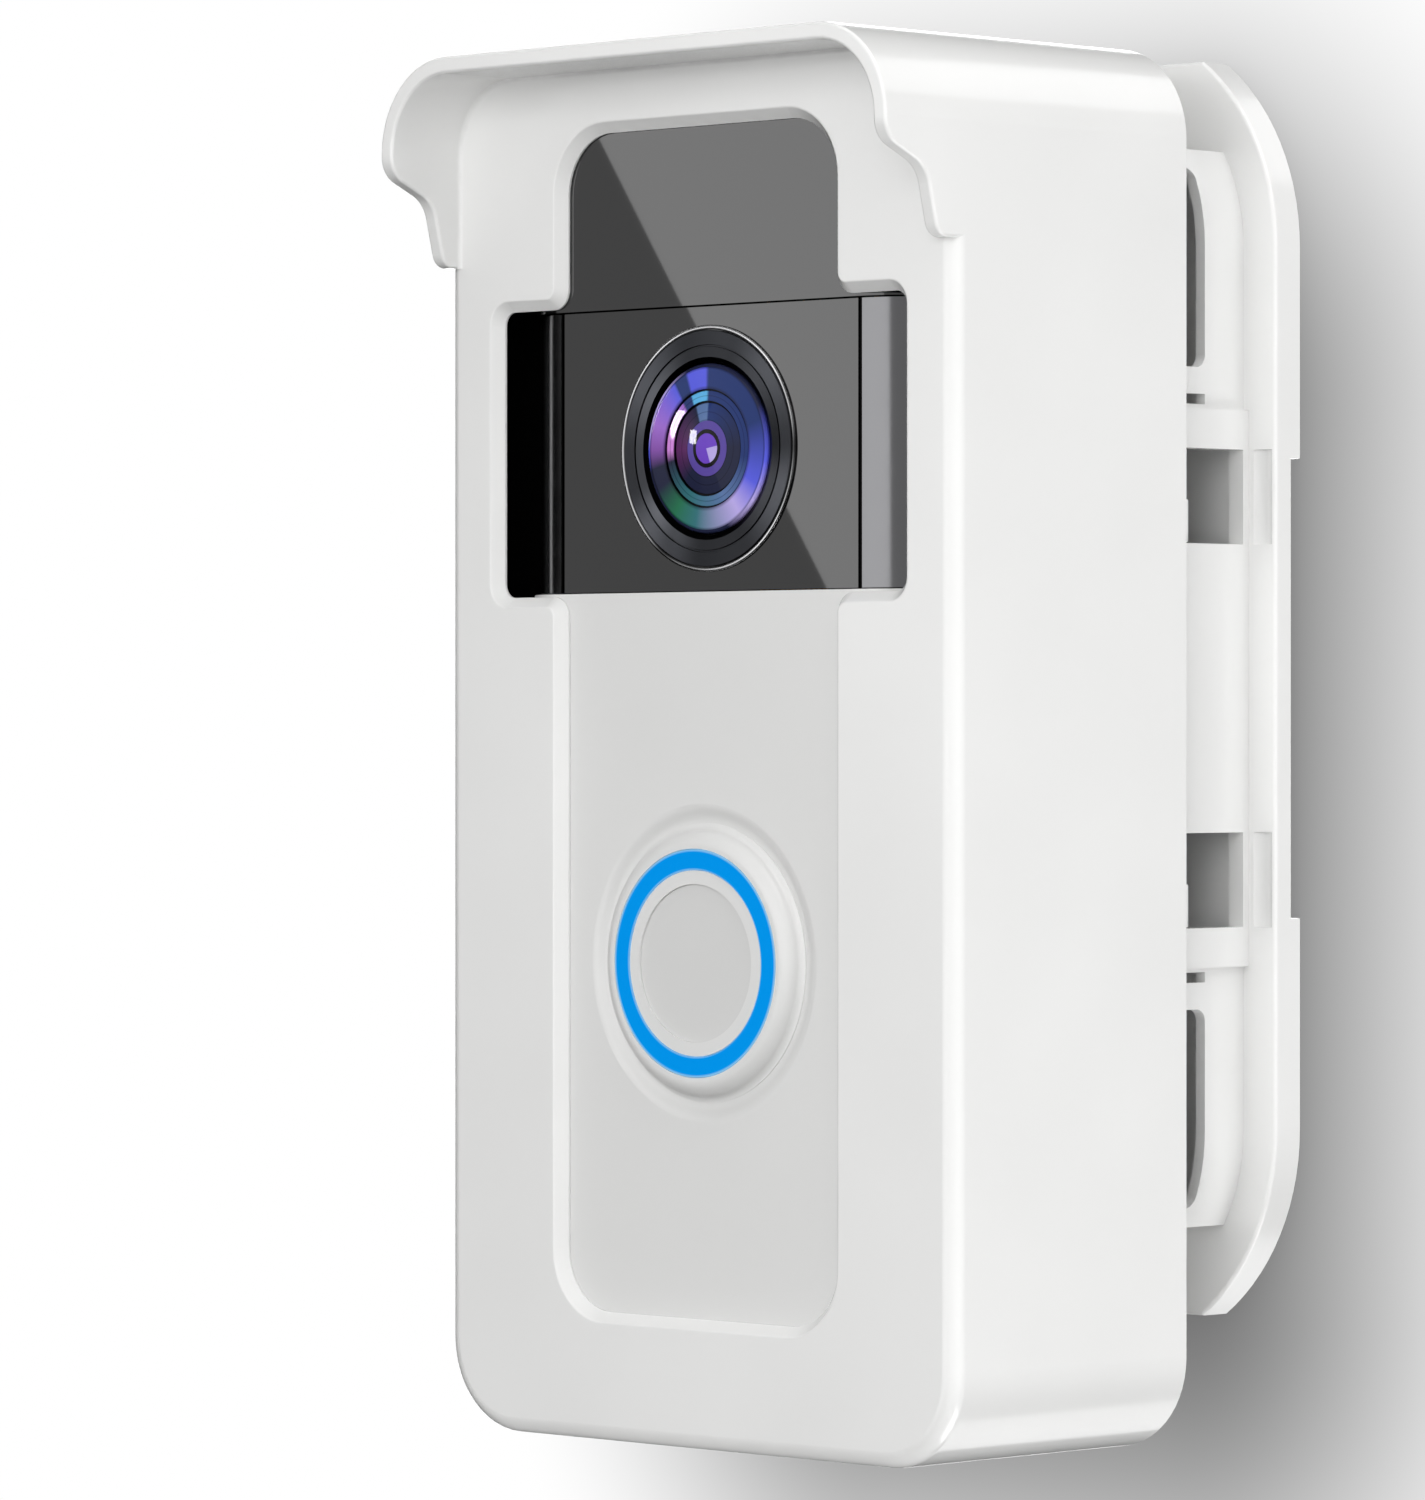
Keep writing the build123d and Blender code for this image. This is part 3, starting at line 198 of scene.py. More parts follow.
def pad_mesh(name, boxes, material, corner, bulge):
    """Slabs squeezed along Y: flat faces, and sides that swell between them."""
    steps, layers = 10, 8
    work = bmesh.new()
    for low, high in boxes:
        rows = []
        for layer in range(layers + 1):
            share = layer / layers
            inset = bulge * (2 * share - 1) ** 2
            depth = low.y + (high.y - low.y) * share
            row = []
            for quarter, (x, z) in enumerate(((1, 1), (-1, 1), (-1, -1), (1, -1))):
                heart_x = (high.x if x > 0 else low.x) - x * (corner + inset)
                heart_z = (high.z if z > 0 else low.z) - z * (corner + inset)
                for step in range(steps + 1):
                    turn = (quarter + step / steps) * math.pi / 2
                    spot = (heart_x + corner * math.cos(turn), depth, heart_z + corner * math.sin(turn))
                    row.append(work.verts.new(spot))
            rows.append(row)
        work.faces.new(rows[0])
        work.faces.new(rows[-1])
        for near, far in zip(rows, rows[1:]):
            for count in range(len(near)):
                after = (count + 1) % len(near)
                work.faces.new((near[count], near[after], far[after], far[count]))
    return finish_mesh(work, name, material)


# Finishes
def shade(colour, share=1.0):
    """Share of a linear colour, with a full alpha."""
    return tuple(c * share for c in colour[:3]) + (1.0,)


def beyond_box(add, place, centre, half):
    """How far a place is beyond a box along each axis; less than nothing inside it."""
    arm = add("ShaderNodeVectorMath", {0: place, 1: centre}, operation="SUBTRACT")
    arm = add("ShaderNodeVectorMath", {0: arm}, operation="ABSOLUTE")
    return add("ShaderNodeVectorMath", {0: arm, 1: half}, operation="SUBTRACT")


def painted_box(add, place, colour, low, high, paint):
    """Colour that changes to a paint inside a box."""
    away = beyond_box(add, place, (low + high) / 2, (high - low) / 2)
    away = add("ShaderNodeSeparateXYZ", {0: away})
    most = add("ShaderNodeMath", {0: away.outputs["X"], 1: away.outputs["Y"]}, operation="MAXIMUM")
    most = add("ShaderNodeMath", {0: most, 1: away.outputs["Z"]}, operation="MAXIMUM")
    within = add("ShaderNodeMath", {0: most, 1: 0.0}, operation="LESS_THAN")
    return add("ShaderNodeMix", {0: within, 6: colour, 7: paint}, data_type="RGBA")


def moulded(name, colour, roughness, grain, relief, ior=1.53, drift=0.97, shade_patch=None, coat=0.0):
    """Injection-moulded plastic: a satin skin copied from a finely eroded mould.

    Grain and relief are the grains' width and height in metres; drift is the darkest cloud's share of the
    colour. A shade patch is a box, and the painted shade colour that the plastic takes inside it.
    """
    flow, spread = 20 * MM, 0.05
    material, add = new_material(name)
    place = add("ShaderNodeTexCoord").outputs["Object"]
    skin = add("ShaderNodeTexNoise", {"Vector": place, "Scale": 1 / grain, "Detail": 2.0})
    cloud = add("ShaderNodeTexNoise", {"Vector": place, "Scale": 1 / flow, "Detail": 1.0})
    stops = [(0.3, shade(colour, drift)), (0.7, shade(colour))]
    colour = add("ShaderNodeValToRGB", {"Fac": cloud}, stops=stops)
    if shade_patch:
        colour = painted_box(add, place, colour, *shade_patch)
    gloss = add(
        "ShaderNodeMapRange", {"Value": skin, "To Min": roughness - spread, "To Max": roughness + spread}
    )
    inputs = {
        "Base Color": colour,
        "Roughness": gloss,
        "IOR": ior,
        "Coat Weight": coat,
        "Coat Roughness": 0.06,
    }
    return end_surface(material, inputs, (skin, 0.5, relief))


def polished(name, colour, ripple, metallic=0.0, roughness=0.012, ior=1.49, coat=0.0, shade_patch=None):
    """Mirror-polished moulding: sharp reflections that a slow ripple of the skin bends a little."""
    swell, smear, spread = 9 * MM, 3 * MM, 0.3
    material, add = new_material(name)
    place = add("ShaderNodeTexCoord").outputs["Object"]
    # A shade patch paints a box of the colour darker, as painted shade
    if shade_patch:
        colour = painted_box(add, place, colour, *shade_patch)
    wave = add("ShaderNodeTexNoise", {"Vector": place, "Scale": 1 / swell, "Detail": 0.0})
    haze = add("ShaderNodeTexNoise", {"Vector": place, "Scale": 1 / smear, "Detail": 3.0})
    gloss = add(
        "ShaderNodeMapRange",
        {"Value": haze, "To Min": roughness * (1 - spread), "To Max": roughness * (1 + spread)},
    )
    inputs = {
        "Base Color": colour,
        "Metallic": metallic,
        "Roughness": gloss,
        "IOR": ior,
        "Coat Weight": coat,
        "Coat Roughness": 0.01,
    }
    return end_surface(material, inputs, (wave, 0.3, ripple), ("Normal", "Coat Normal"))


def polar(add, centre):
    """Radius about an axis along Y, the turn from 0 to 1 from the left by the foot, and the arm."""
    place = add("ShaderNodeTexCoord").outputs["Object"]
    arm = add("ShaderNodeVectorMath", {0: place, 1: centre}, operation="SUBTRACT")
    flat = add("ShaderNodeVectorMath", {0: arm, 1: (1.0, 0.0, 1.0)}, operation="MULTIPLY")
    radius = add("ShaderNodeVectorMath", {0: flat}, operation="LENGTH")
    split = add("ShaderNodeSeparateXYZ", {0: flat})
    turn = add("ShaderNodeMath", {0: split.outputs["Z"], 1: split.outputs["X"]}, operation="ARCTAN2")
    share = add("ShaderNodeMapRange", {"Value": turn, "From Min": -math.pi, "From Max": math.pi})
    return radius, share, flat


def turned_metal(name, colour, roughness, centre, inner, band, painted_fans, anisotropic=0.7):
    """Metal faced on a lathe: rings too fine to see stretch its real highlights round the middle.

    Fans of light and dark are also painted into its colour as painted highlights. Painted fans are pairs of
    degrees, anticlockwise from the right, and a share of the colour.
    """
    material, add = new_material(name)
    radius, turn, arm = polar(add, centre)
    # Painted highlights: the colour brightens and darkens in fans round the axis
    stops = [((degrees + 180) / 360, shade(colour, share)) for degrees, share in painted_fans]
    painted_sheen = add("ShaderNodeValToRGB", {"Fac": turn}, stops=stops)
    painted_sheen.color_ramp.interpolation = "EASE"
    along = add("ShaderNodeVectorMath", {0: arm, 1: (0.0, 1.0, 0.0)}, operation="CROSS_PRODUCT")
    along = add("ShaderNodeVectorMath", {0: along}, operation="NORMALIZE")
    # The real rings stand about 0.02 mm apart; these are coarser so that they show
    pitch, depth = 0.12 * MM, 0.002 * MM
    rings = add("ShaderNodeMath", {0: radius, 1: 2 * math.pi / pitch}, operation="MULTIPLY")
    rings = add("ShaderNodeMath", {0: rings}, operation="SINE")
    # Inside the band radius the colour is the inner one: on the bezel, painted shade round the glass
    outside = add("ShaderNodeMath", {0: radius, 1: band}, operation="GREATER_THAN")
    tint = add("ShaderNodeMix", {0: outside, 6: inner, 7: painted_sheen}, data_type="RGBA")
    inputs = {
        "Base Color": tint,
        "Metallic": 1.0,
        "Roughness": roughness,
        "Anisotropic": anisotropic,
        "Tangent": along,
    }
    return end_surface(material, inputs, (rings, 0.25, depth))


def coated_glass(name, centre, rim):
    """Multi-layer coated lens glass: the violet, blue or green that each element throws back is painted
    into its colour, as painted reflections.
    """
    material, add = new_material(name)
    radius, turn = polar(add, centre)[:2]
    violet, orchid, pink = linear("#8450A8"), linear("#A06CD0"), linear("#D488DE")
    lilac, iris, plum = linear("#BCACEA"), linear("#6E44C4"), linear("#5C2660")
    indigo, navy, night = linear("#585EE2"), linear("#1E3470"), linear("#20243E")
    sky, slate = linear("#5CB4E8"), linear("#5C78A8")
    teal, green = linear("#35727A"), linear("#23704E")
    # Degrees anticlockwise from the right: two pale windows are painted reflections in the upper left of
    # the outer elements
    outer = (
        (-180, violet), (180, violet), (-166, night), (-150, night), (-125, green), (-102, teal),
        (-55, lilac), (-28, indigo), (20, navy), (88, navy), (91, indigo), (110, indigo),
        (112, navy), (124, navy), (126, indigo), (160, orchid),
    )
    second = (
        (-180, pink), (180, pink), (-167, night), (-115, teal), (-65, slate), (-10, navy),
        (88, navy), (91, sky), (112, sky), (114, navy), (126, navy), (128, orchid), (155, pink),
    )
    third = (
        (-180, plum), (180, plum), (-135, night), (0, night), (88, navy), (91, slate),
        (110, slate), (113, night),
    )
    pupil = ((-72, iris), (8, lilac), (-70, lilac), (10, iris))
    ground = (
        (-180, indigo), (180, indigo), (-165, night), (-70, night), (-40, lilac), (-10, indigo),
        (30, night), (110, night), (140, lilac), (165, lilac),
    )
    zones = []
    for painted_fans in (outer, second, third, pupil, ground):
        stops = [((degrees + 180) / 360, colour) for degrees, colour in painted_fans]
        zones.append(add("ShaderNodeValToRGB", {"Fac": turn}, stops=stops))
    wide, narrow, inmost, iris_zone, colour = zones
    # Each zone covers the one before it inside its own radius in millimetres
    for limit, inside in (
        (8.62, wide),
        (6.2, narrow),
        (4.95, inmost),
        (2.95, linear("#5A489E")),
        (2.05, linear("#08060C")),
        (1.6, iris_zone),
    ):
        within = add("ShaderNodeMath", {0: radius, 1: limit * MM}, operation="LESS_THAN")
        colour = add("ShaderNodeMix", {0: within, 6: colour, 7: inside}, data_type="RGBA")
    reach = add("ShaderNodeMath", {0: radius, 1: rim}, operation="DIVIDE")
    # Dark lines where one element ends and the next begins, as shares of the rim
    black, grey, full = linear("#101018"), linear("#A8A8B0"), linear("#FFFFFF")
    stops = [
        (0.0, full), (1.0, full), (0.325, full), (0.335, grey), (0.345, full), (0.425, full),
        (0.43, grey), (0.44, full), (0.53, full), (0.54, black), (0.56, black), (0.565, full),
        (0.615, full), (0.62, grey), (0.63, full), (0.675, full), (0.682, black),
        (0.696, black), (0.705, grey), (0.74, full), (0.93, full), (0.955, grey),
        (0.965, full),
    ]
    edges = add("ShaderNodeValToRGB", {"Fac": reach}, stops=stops)
    tint = add("ShaderNodeMix", {0: 1.0, 6: colour, 7: edges}, data_type="RGBA", blend_type="MULTIPLY")
    inputs = {
        "Base Color": tint,
        "Roughness": 0.25,
        "IOR": 1.1,
        "Coat Weight": 0.15,
        "Coat Roughness": 0.02,
        "Coat IOR": 1.5,
    }
    return end_surface(material, inputs)


def light_pipe(name, colour, edge, glow, centre, inside, outside):
    """Dyed clear polycarbonate with lamps behind it: an even glow that pales at the two edges."""
    mist, smoothest, roughest = 0.4 * MM, 0.22, 0.34
    material, add = new_material(name)
    radius = polar(add, centre)[0]
    across = add("ShaderNodeMapRange", {"Value": radius, "From Min": inside, "From Max": outside})
    stops = [(0.02, edge), (0.98, edge), (0.12, shade(colour)), (0.88, shade(colour))]
    hue = add("ShaderNodeValToRGB", {"Fac": across}, stops=stops)
    # The dye drinks most of the light that falls on it, so the lamps give the colour
    dye = linear("#A0A0A0")
    deep = add("ShaderNodeMix", {0: 1.0, 6: hue, 7: dye}, data_type="RGBA", blend_type="MULTIPLY")
    place = add("ShaderNodeTexCoord").outputs["Object"]
    haze = add("ShaderNodeTexNoise", {"Vector": place, "Scale": 1 / mist, "Detail": 2.0})
    gloss = add("ShaderNodeMapRange", {"Value": haze, "To Min": smoothest, "To Max": roughest})
    inputs = {
        "Base Color": deep,
        "Roughness": gloss,
        "IOR": 1.58,
        "Specular IOR Level": 0.01,
        "Emission Color": hue,
        "Emission Strength": glow,
    }
    return end_surface(material, inputs)


def rough_skin(name, colour, roughness, cell, relief, drift, metallic=0.0, ior=1.45):
    """Skin of cells or crystals: each takes its own shade, with a valley round it.

    Cell and relief are a cell's width and height in metres; drift is the darkest one's share of the colour.
    """
    material, add = new_material(name)
    place = add("ShaderNodeTexCoord").outputs["Object"]
    cells = add(
        "ShaderNodeTexVoronoi",
        {"Vector": place, "Scale": 1 / cell, "Smoothness": 0.0},
        feature="SMOOTH_F1",
    )
    tone = add("ShaderNodeSeparateColor", {0: cells.outputs["Color"]})
    stops = [(0.0, shade(colour, drift)), (1.0, shade(colour))]
    tint = add("ShaderNodeValToRGB", {"Fac": tone.outputs["Red"]}, stops=stops)
    inputs = {"Base Color": tint, "Metallic": metallic, "Roughness": roughness, "IOR": ior}
    return end_surface(material, inputs, (cells.outputs["Distance"], 0.6, relief))


def circuit_board(name, mask, trace, pad):
    """Glass-epoxy board: green solder mask with the copper runs showing through and gold pads."""
    pitch, field, spacing = 4.5 * MM, 7 * MM, 2.6 * MM
    run_edge, pad_radius, height = 0.62, 0.16, 0.03 * MM
    material, add = new_material(name)
    place = add("ShaderNodeTexCoord").outputs["Object"]
    runs = []
    for direction in ("X", "Z"):
        wave = add(
            "ShaderNodeTexWave",
            {"Vector": place, "Scale": 1 / pitch, "Distortion": 0.0},
            bands_direction=direction,
        )
        line = add("ShaderNodeMath", {0: wave.outputs["Fac"], 1: run_edge}, operation="GREATER_THAN")
        runs.append(line)
    region = add("ShaderNodeTexVoronoi", {"Vector": place, "Scale": 1 / field}, distance="CHEBYCHEV")
    pick = add("ShaderNodeSeparateColor", {0: region.outputs["Color"]})
    side = add("ShaderNodeMath", {0: pick.outputs["Red"], 1: 0.5}, operation="GREATER_THAN")
    lines = add("ShaderNodeMix", {0: side, 2: runs[0], 3: runs[1]}, data_type="FLOAT")
    base = add("ShaderNodeMix", {0: lines, 6: mask, 7: trace}, data_type="RGBA")
    dots = add("ShaderNodeTexVoronoi", {"Vector": place, "Scale": 1 / spacing, "Randomness": 0.6})
    spot = add("ShaderNodeMath", {0: dots.outputs["Distance"], 1: pad_radius}, operation="LESS_THAN")
    tint = add("ShaderNodeMix", {0: spot, 6: base, 7: pad}, data_type="RGBA")
    inputs = {"Base Color": tint, "Metallic": spot, "Roughness": 0.32, "IOR": 1.55}
    return end_surface(material, inputs, (lines, 0.5, height))


def film(name, colour, line, pitch, direction, metallic, roughness, wrinkle):
    """Thin film drawn over what is below: stripes across it and slack wrinkles.

    Pitch and wrinkle are the stripes' width and the wrinkles' height in metres.
    """
    fold = 6 * MM
    material, add = new_material(name)
    place = add("ShaderNodeTexCoord").outputs["Object"]
    stripes = add(
        "ShaderNodeTexWave", {"Vector": place, "Scale": 1 / (math.pi * pitch)}, bands_direction=direction
    )
    tint = add("ShaderNodeValToRGB", {"Fac": stripes.outputs["Fac"]}, stops=[(0.45, colour), (0.6, line)])
    slack = add("ShaderNodeTexNoise", {"Vector": place, "Scale": 1 / fold, "Detail": 3.0})
    inputs = {"Base Color": tint, "Metallic": metallic, "Roughness": roughness, "IOR": 1.6}
    return end_surface(material, inputs, (slack, 0.6, wrinkle))


# Sizes and colours that can be changed
def colour_prop(name, description, code):
    return FloatVectorProperty(
        name=name,
        description=description,
        subtype="COLOR",
        size=3,
        min=0.0,
        max=1.0,
        default=linear(code)[:3],
    )


def length_prop(name, description, default):
    return FloatProperty(
        name=name,
        description=description,
        default=default,
        min=0.0,
        subtype="DISTANCE",
        unit="LENGTH",
        precision=5,
    )


def power_prop(name, description, default):
    return FloatProperty(
        name=name, description=description, default=default, min=0.0, subtype="POWER", unit="POWER"
    )


def share_prop(name, description, default, least=0.0, most=1.0):
    return FloatProperty(
        name=name, description=description, default=default, min=least, max=most, subtype="FACTOR"
    )


class HousingProps(bpy.types.PropertyGroup):
    colour: colour_prop("Housing colour", "White of the housing and the wall plate", "#EBEBEA")
    grain: length_prop("Mould grain", "Width of the grains on the moulded skin", 0.25 * MM)
    bulge: length_prop("Foam bulge", "How far the squeezed foam swells at its sides", 0.9 * MM)


class BellProps(bpy.types.PropertyGroup):
    pale: colour_prop("Pale colour", "Faceplate, collar and button", "#DEDEDD")
    black: colour_prop("Black colour", "Tinted window and upper panel", "#0A0A0B")
    flank: colour_prop("Flank colour", "Dark chrome beside the window", "#79797B")
    blue: colour_prop("Ring colour", "Light ring round the button", "#0096EE")
    glow: share_prop("Ring glow", "Light that the ring gives off", 0.62)


class LensProps(bpy.types.PropertyGroup):
    groove: length_prop("Groove radius", "Black groove turned into the bezel", 10.9 * MM)
    # The band round the glass is painted near black as painted shade round the recessed glass
    band: length_prop("Band radius", "Outside of the blackened band round the glass", 9.7 * MM)
    # The bezel colour is the brightest of its painted highlight fans
    bezel: colour_prop("Bezel colour", "Black anodised bezel", "#686A70")
    # The hoop colour is the brightest of its painted reflection fans
    hoop: colour_prop("Hoop colour", "Bright hoop round the bezel", "#DCDCDE")


class ScrewProps(bpy.types.PropertyGroup):
    pitch: length_prop("Thread pitch", "Rise of one turn of the thread", 0.8 * MM)
    recess: share_prop("Recess width", "Width of the cross recess as a share of the head", 0.62, 0.3, 0.8)


class StageProps(bpy.types.PropertyGroup):
    key: power_prop("Key light", "Power of the soft light in front", 4.5)
    card: power_prop("Reflector card", "Power of the bright card that only gloss shows", 4.0)
    top: power_prop("Top light", "Power of the soft light above", 4.6)
    bounce: power_prop("Bounce light", "Power of the soft light that the floor throws back", 5.4)
    back: power_prop("Back light", "Power of the soft light behind the part", 7.0)
    strips: power_prop("Edge strips", "Power of each strip mirrored along the top and bottom edges", 1.2)
    panel: power_prop("Panel", "Power of the panel on the right that only gloss shows", 1.5)
    gloss: share_prop("Mirrored surroundings", "Strength of the surroundings that gloss shows", 0.52)
    ambient: share_prop("Surroundings", "Strength of the even light from all round", 0.27)


class DOORBELL_OT_housing(bpy.types.Operator):
    """Dress the housing and the wall plate, and make the foam that they hold"""

    bl_idname = "doorbell.housing"
    bl_label = "Housing"

    def execute(self, context):
        props = context.scene.doorbell_housing
        # Glossy ABS: a clear skin over white, with only a trace of the mould's grain
        look = {"roughness": 0.2, "grain": props.grain, "relief": 0.0015 * MM, "coat": 0.3}
        dress(moulded("abs_white_moulded", props.colour, **look), "rear_cover", "wall_plate")
        # The hollow of the shell is painted black as painted shade, where its inside lies in the dark
        low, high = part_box("rear_cover")
        margin = Vector((0.3 * MM, 0.0, -3 * MM))
        front = Vector((low.x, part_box("faceplate")[0].y, low.z)) - margin
        back = Vector((high.x, low.y, high.z)) + margin
        painted_shade_hollow = (front, back, linear("#0A0A0B"))
        dress(moulded("abs_white_painted_shade_hollow", props.colour, shade_patch=painted_shade_hollow, **look), "housing_shell")
        # Open-cell look cut across: dark pinholes between soft grey walls
        skin = {"roughness": 0.95, "cell": 0.5 * MM, "relief": 0.25 * MM, "drift": 0.55}
        foam = rough_skin("polyurethane_foam_cut", linear("#3C3C3E"), **skin)
        pads = pad_mesh("foam_cushions", solids("foam_pads"), foam, corner=2 * MM, bulge=props.bulge)
        add_piece("foam_cushions", pads, "housing", "foam_grey", "foam_pads")
        # Closed-cell tape: dense and nearly smooth, with a fine sparkle of cells
        skin = {"roughness": 0.8, "cell": 0.3 * MM, "relief": 0.05 * MM, "drift": 0.85}
        tape = rough_skin("acrylic_foam_tape_slit", linear("#A8A8AA"), **skin)
        pad = pad_mesh("mounting_tape", solids("adhesive_pad"), tape, corner=1.5 * MM, bulge=0.2 * MM)
        add_piece("mounting_tape", pad, "bracket", "tape_grey", "adhesive_pad")
        return {"FINISHED"}


class DOORBELL_OT_shells(bpy.types.Operator):
    """Dress the doorbell's shells and window"""

    bl_idname = "doorbell.shells"
    bl_label = "Doorbell shells"

    def execute(self, context):
        props = context.scene.doorbell_bell
        # Pale PC-ABS: more matt than the housing, with hardly a cloud in it
        dress(moulded("pc_abs_pale_moulded", props.pale, **PALE_SKIN), "faceplate", "button_collar")
        black, ripple = shade(props.black), 0.0004 * MM
        # Smoked acrylic under a hard coat looks black from outside and mirrors the studio like glass
        smoked = polished("acrylic_smoked_hard_coated", black, ripple, coat=1.0)
        dress(smoked, "camera_window", "upper_panel")
        # Dark chrome plating: a fifth of the light comes back, bent round the rolled flanks
        low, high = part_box("camera_window")
        # The window's margin and the gap round it are painted black: painted shade of the gap, which also
        # takes the chrome's reflection away there
        rim = Vector((0.55 * MM, 0.3 * MM, 5 * MM))
        painted_shade_seam = (low - rim, high + rim, linear("#060606"))
        flank = shade(props.flank)
        chrome = polished(
            "pc_abs_dark_chrome_plated", flank, ripple, metallic=1.0, roughness=0.16, shade_patch=painted_shade_seam
        )
        dress(chrome, "camera_surround")
        # Eroded black: a coarse grain that turns gloss to a soft grey bloom
        case = moulded(
            "pc_abs_black_eroded",
            linear("#1C1C1D"),
            roughness=0.55,
            grain=0.4 * MM,
            relief=0.02 * MM,
            ior=1.56,
            drift=0.9,
        )
        dress(case, "rear_case")
        # Silicone is dull with a soft bloom of dust on it
        skin = {"roughness": 0.7, "cell": 0.35 * MM, "relief": 0.004 * MM, "drift": 0.9}
        seal = rough_skin("silicone_black_moulded", linear("#2A2A2C"), ior=1.41, **skin)
        dress(seal, "case_gasket", "lens_seal", "button_seal")
        return {"FINISHED"}


class DOORBELL_OT_button(bpy.types.Operator):
    """Light the ring round the button and dress the switch behind it"""

    bl_idname = "doorbell.button"
    bl_label = "Button"

    def execute(self, context):
        props = context.scene.doorbell_bell
        inside, outside = half_width("button_cap"), half_width("light_ring")
        # Dyed polycarbonate over its lamps: an even blue that pales at both edges
        edge = linear("#8CC8F0")
        ring = (middle("light_ring"), inside, outside)
        blue = light_pipe("polycarbonate_blue_light_pipe", props.blue, edge, props.glow, *ring)
        dress(blue, "light_ring")
        # The finger's dish is painted darker than the rim: painted shade of its recess
        rim, sunk, depth, dish_shade_share = 1 * MM, 0.1 * MM, 0.5 * MM, 0.89
        reach = Vector((inside - rim, 0.0, inside - rim))
        heart = middle("button_cap")
        heart.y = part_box("button_cap")[0].y + sunk
        painted_shade_dish = (heart - reach, heart + reach + Vector((0.0, depth, 0.0)), shade(props.pale, dish_shade_share))
        pale = moulded("pc_abs_pale_painted_shade_dish", props.pale, shade_patch=painted_shade_dish, **PALE_SKIN)
        dress(pale, "button_cap")
        # Nylon: black with a waxy half gloss
        nylon = moulded(
            "nylon_black_moulded",
            linear("#202021"),
            roughness=0.5,
            grain=0.3 * MM,
            relief=0.006 * MM,
            drift=0.9,
        )
        dress(nylon, "switch_plunger")
        return {"FINISHED"}


def make_hoop(props, centre):
    """Bright hoop with a rounded crown."""
    low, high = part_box("lens_trim")
    play, steps = 0.05 * MM, 12
    outer, inner = half_width("lens_trim"), half_width("lens_bezel") + play
    half, heart = (outer - inner) / 2, (outer + inner) / 2
    # The crown is flatter than a half circle
    rise = half * 0.6
    arc = [math.pi * count / steps for count in range(steps + 1)]
    profile = [(heart + half * math.cos(a), low.y + rise - rise * math.sin(a)) for a in arc]
    profile += [(inner, high.y), (outer, high.y)]
    # Polished steel: white and black fans, painted reflections, follow each other round the hoop
    painted_fans = (
        (-180, 0.5), (180, 0.5), (-140, 0.45), (-122, 0.06), (-105, 0.25), (-75, 1.0),
        (-50, 0.9), (-20, 0.3), (0, 0.06), (20, 0.4), (50, 1.0), (110, 1.0), (150, 0.7),
    )
    steel = turned_metal(
        "steel_hoop_polished",
        shade(props.hoop),
        roughness=0.22,
        centre=centre,
        inner=shade(props.hoop),
        band=0.0,
        painted_fans=painted_fans,
        anisotropic=0.3,
    )
    mesh = turned_mesh("lens_hoop", profile, centre, steel)
    add_piece("lens_hoop", mesh, "housing", "trim_metal", "lens_trim")


def make_bezel(props, centre):
    """Black bezel with its groove and the bevelled band round the glass."""
    low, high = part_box("lens_bezel")
    face = low.y
    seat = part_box("camera_window")[0].y
    outer, neck = half_width("lens_bezel"), half_width("lens_seal")
    play = 0.1 * MM
    bore = half_width("front_lens") + play
    groove, band = props.groove, props.band
    # Radius, and the step from it and the depth behind the face in millimetres
    turned = (
        (outer, 0.0, 0.08),
        (outer, -0.08, 0.0),
        (groove, 0.13, 0.0),
        (groove, 0.1, 0.03),
        (groove, 0.07, 0.18),
        (groove, -0.07, 0.18),
        (groove, -0.1, 0.03),
        (groove, -0.13, 0.01),
        (band, 0.0, 0.06),
        (band, -0.1, 0.12),
        (bore, 0.0, 0.36),
    )
    profile = [(outer, seat)]
    profile += [(radius + step * MM, face + depth * MM) for radius, step, depth in turned]
    profile += [(bore, high.y), (neck, high.y), (neck, seat)]
    # Black anodised face: grey fans painted round it from the middle, painted highlights of its turned
    # rings
    painted_fans = (
        (-180, 0.45), (180, 0.45), (-160, 0.42), (-138, 1.0), (-118, 0.5), (-95, 0.2),
        (-62, 0.25), (-20, 1.0), (2, 0.4), (40, 0.85), (72, 0.35), (105, 0.25), (148, 0.9),
    )
    black = turned_metal(
        "aluminium_black_anodised_turned",
        shade(props.bezel),
        roughness=0.36,
        centre=centre,
        # Painted shade: near black inside the band, round the recessed glass
        inner=linear("#050506"),
        band=band,
        painted_fans=painted_fans,
    )
    mesh = turned_mesh("lens_bezel_turned", profile, centre, black)
    add_piece("lens_bezel_turned", mesh, "housing", "barrel_black", "lens_bezel")


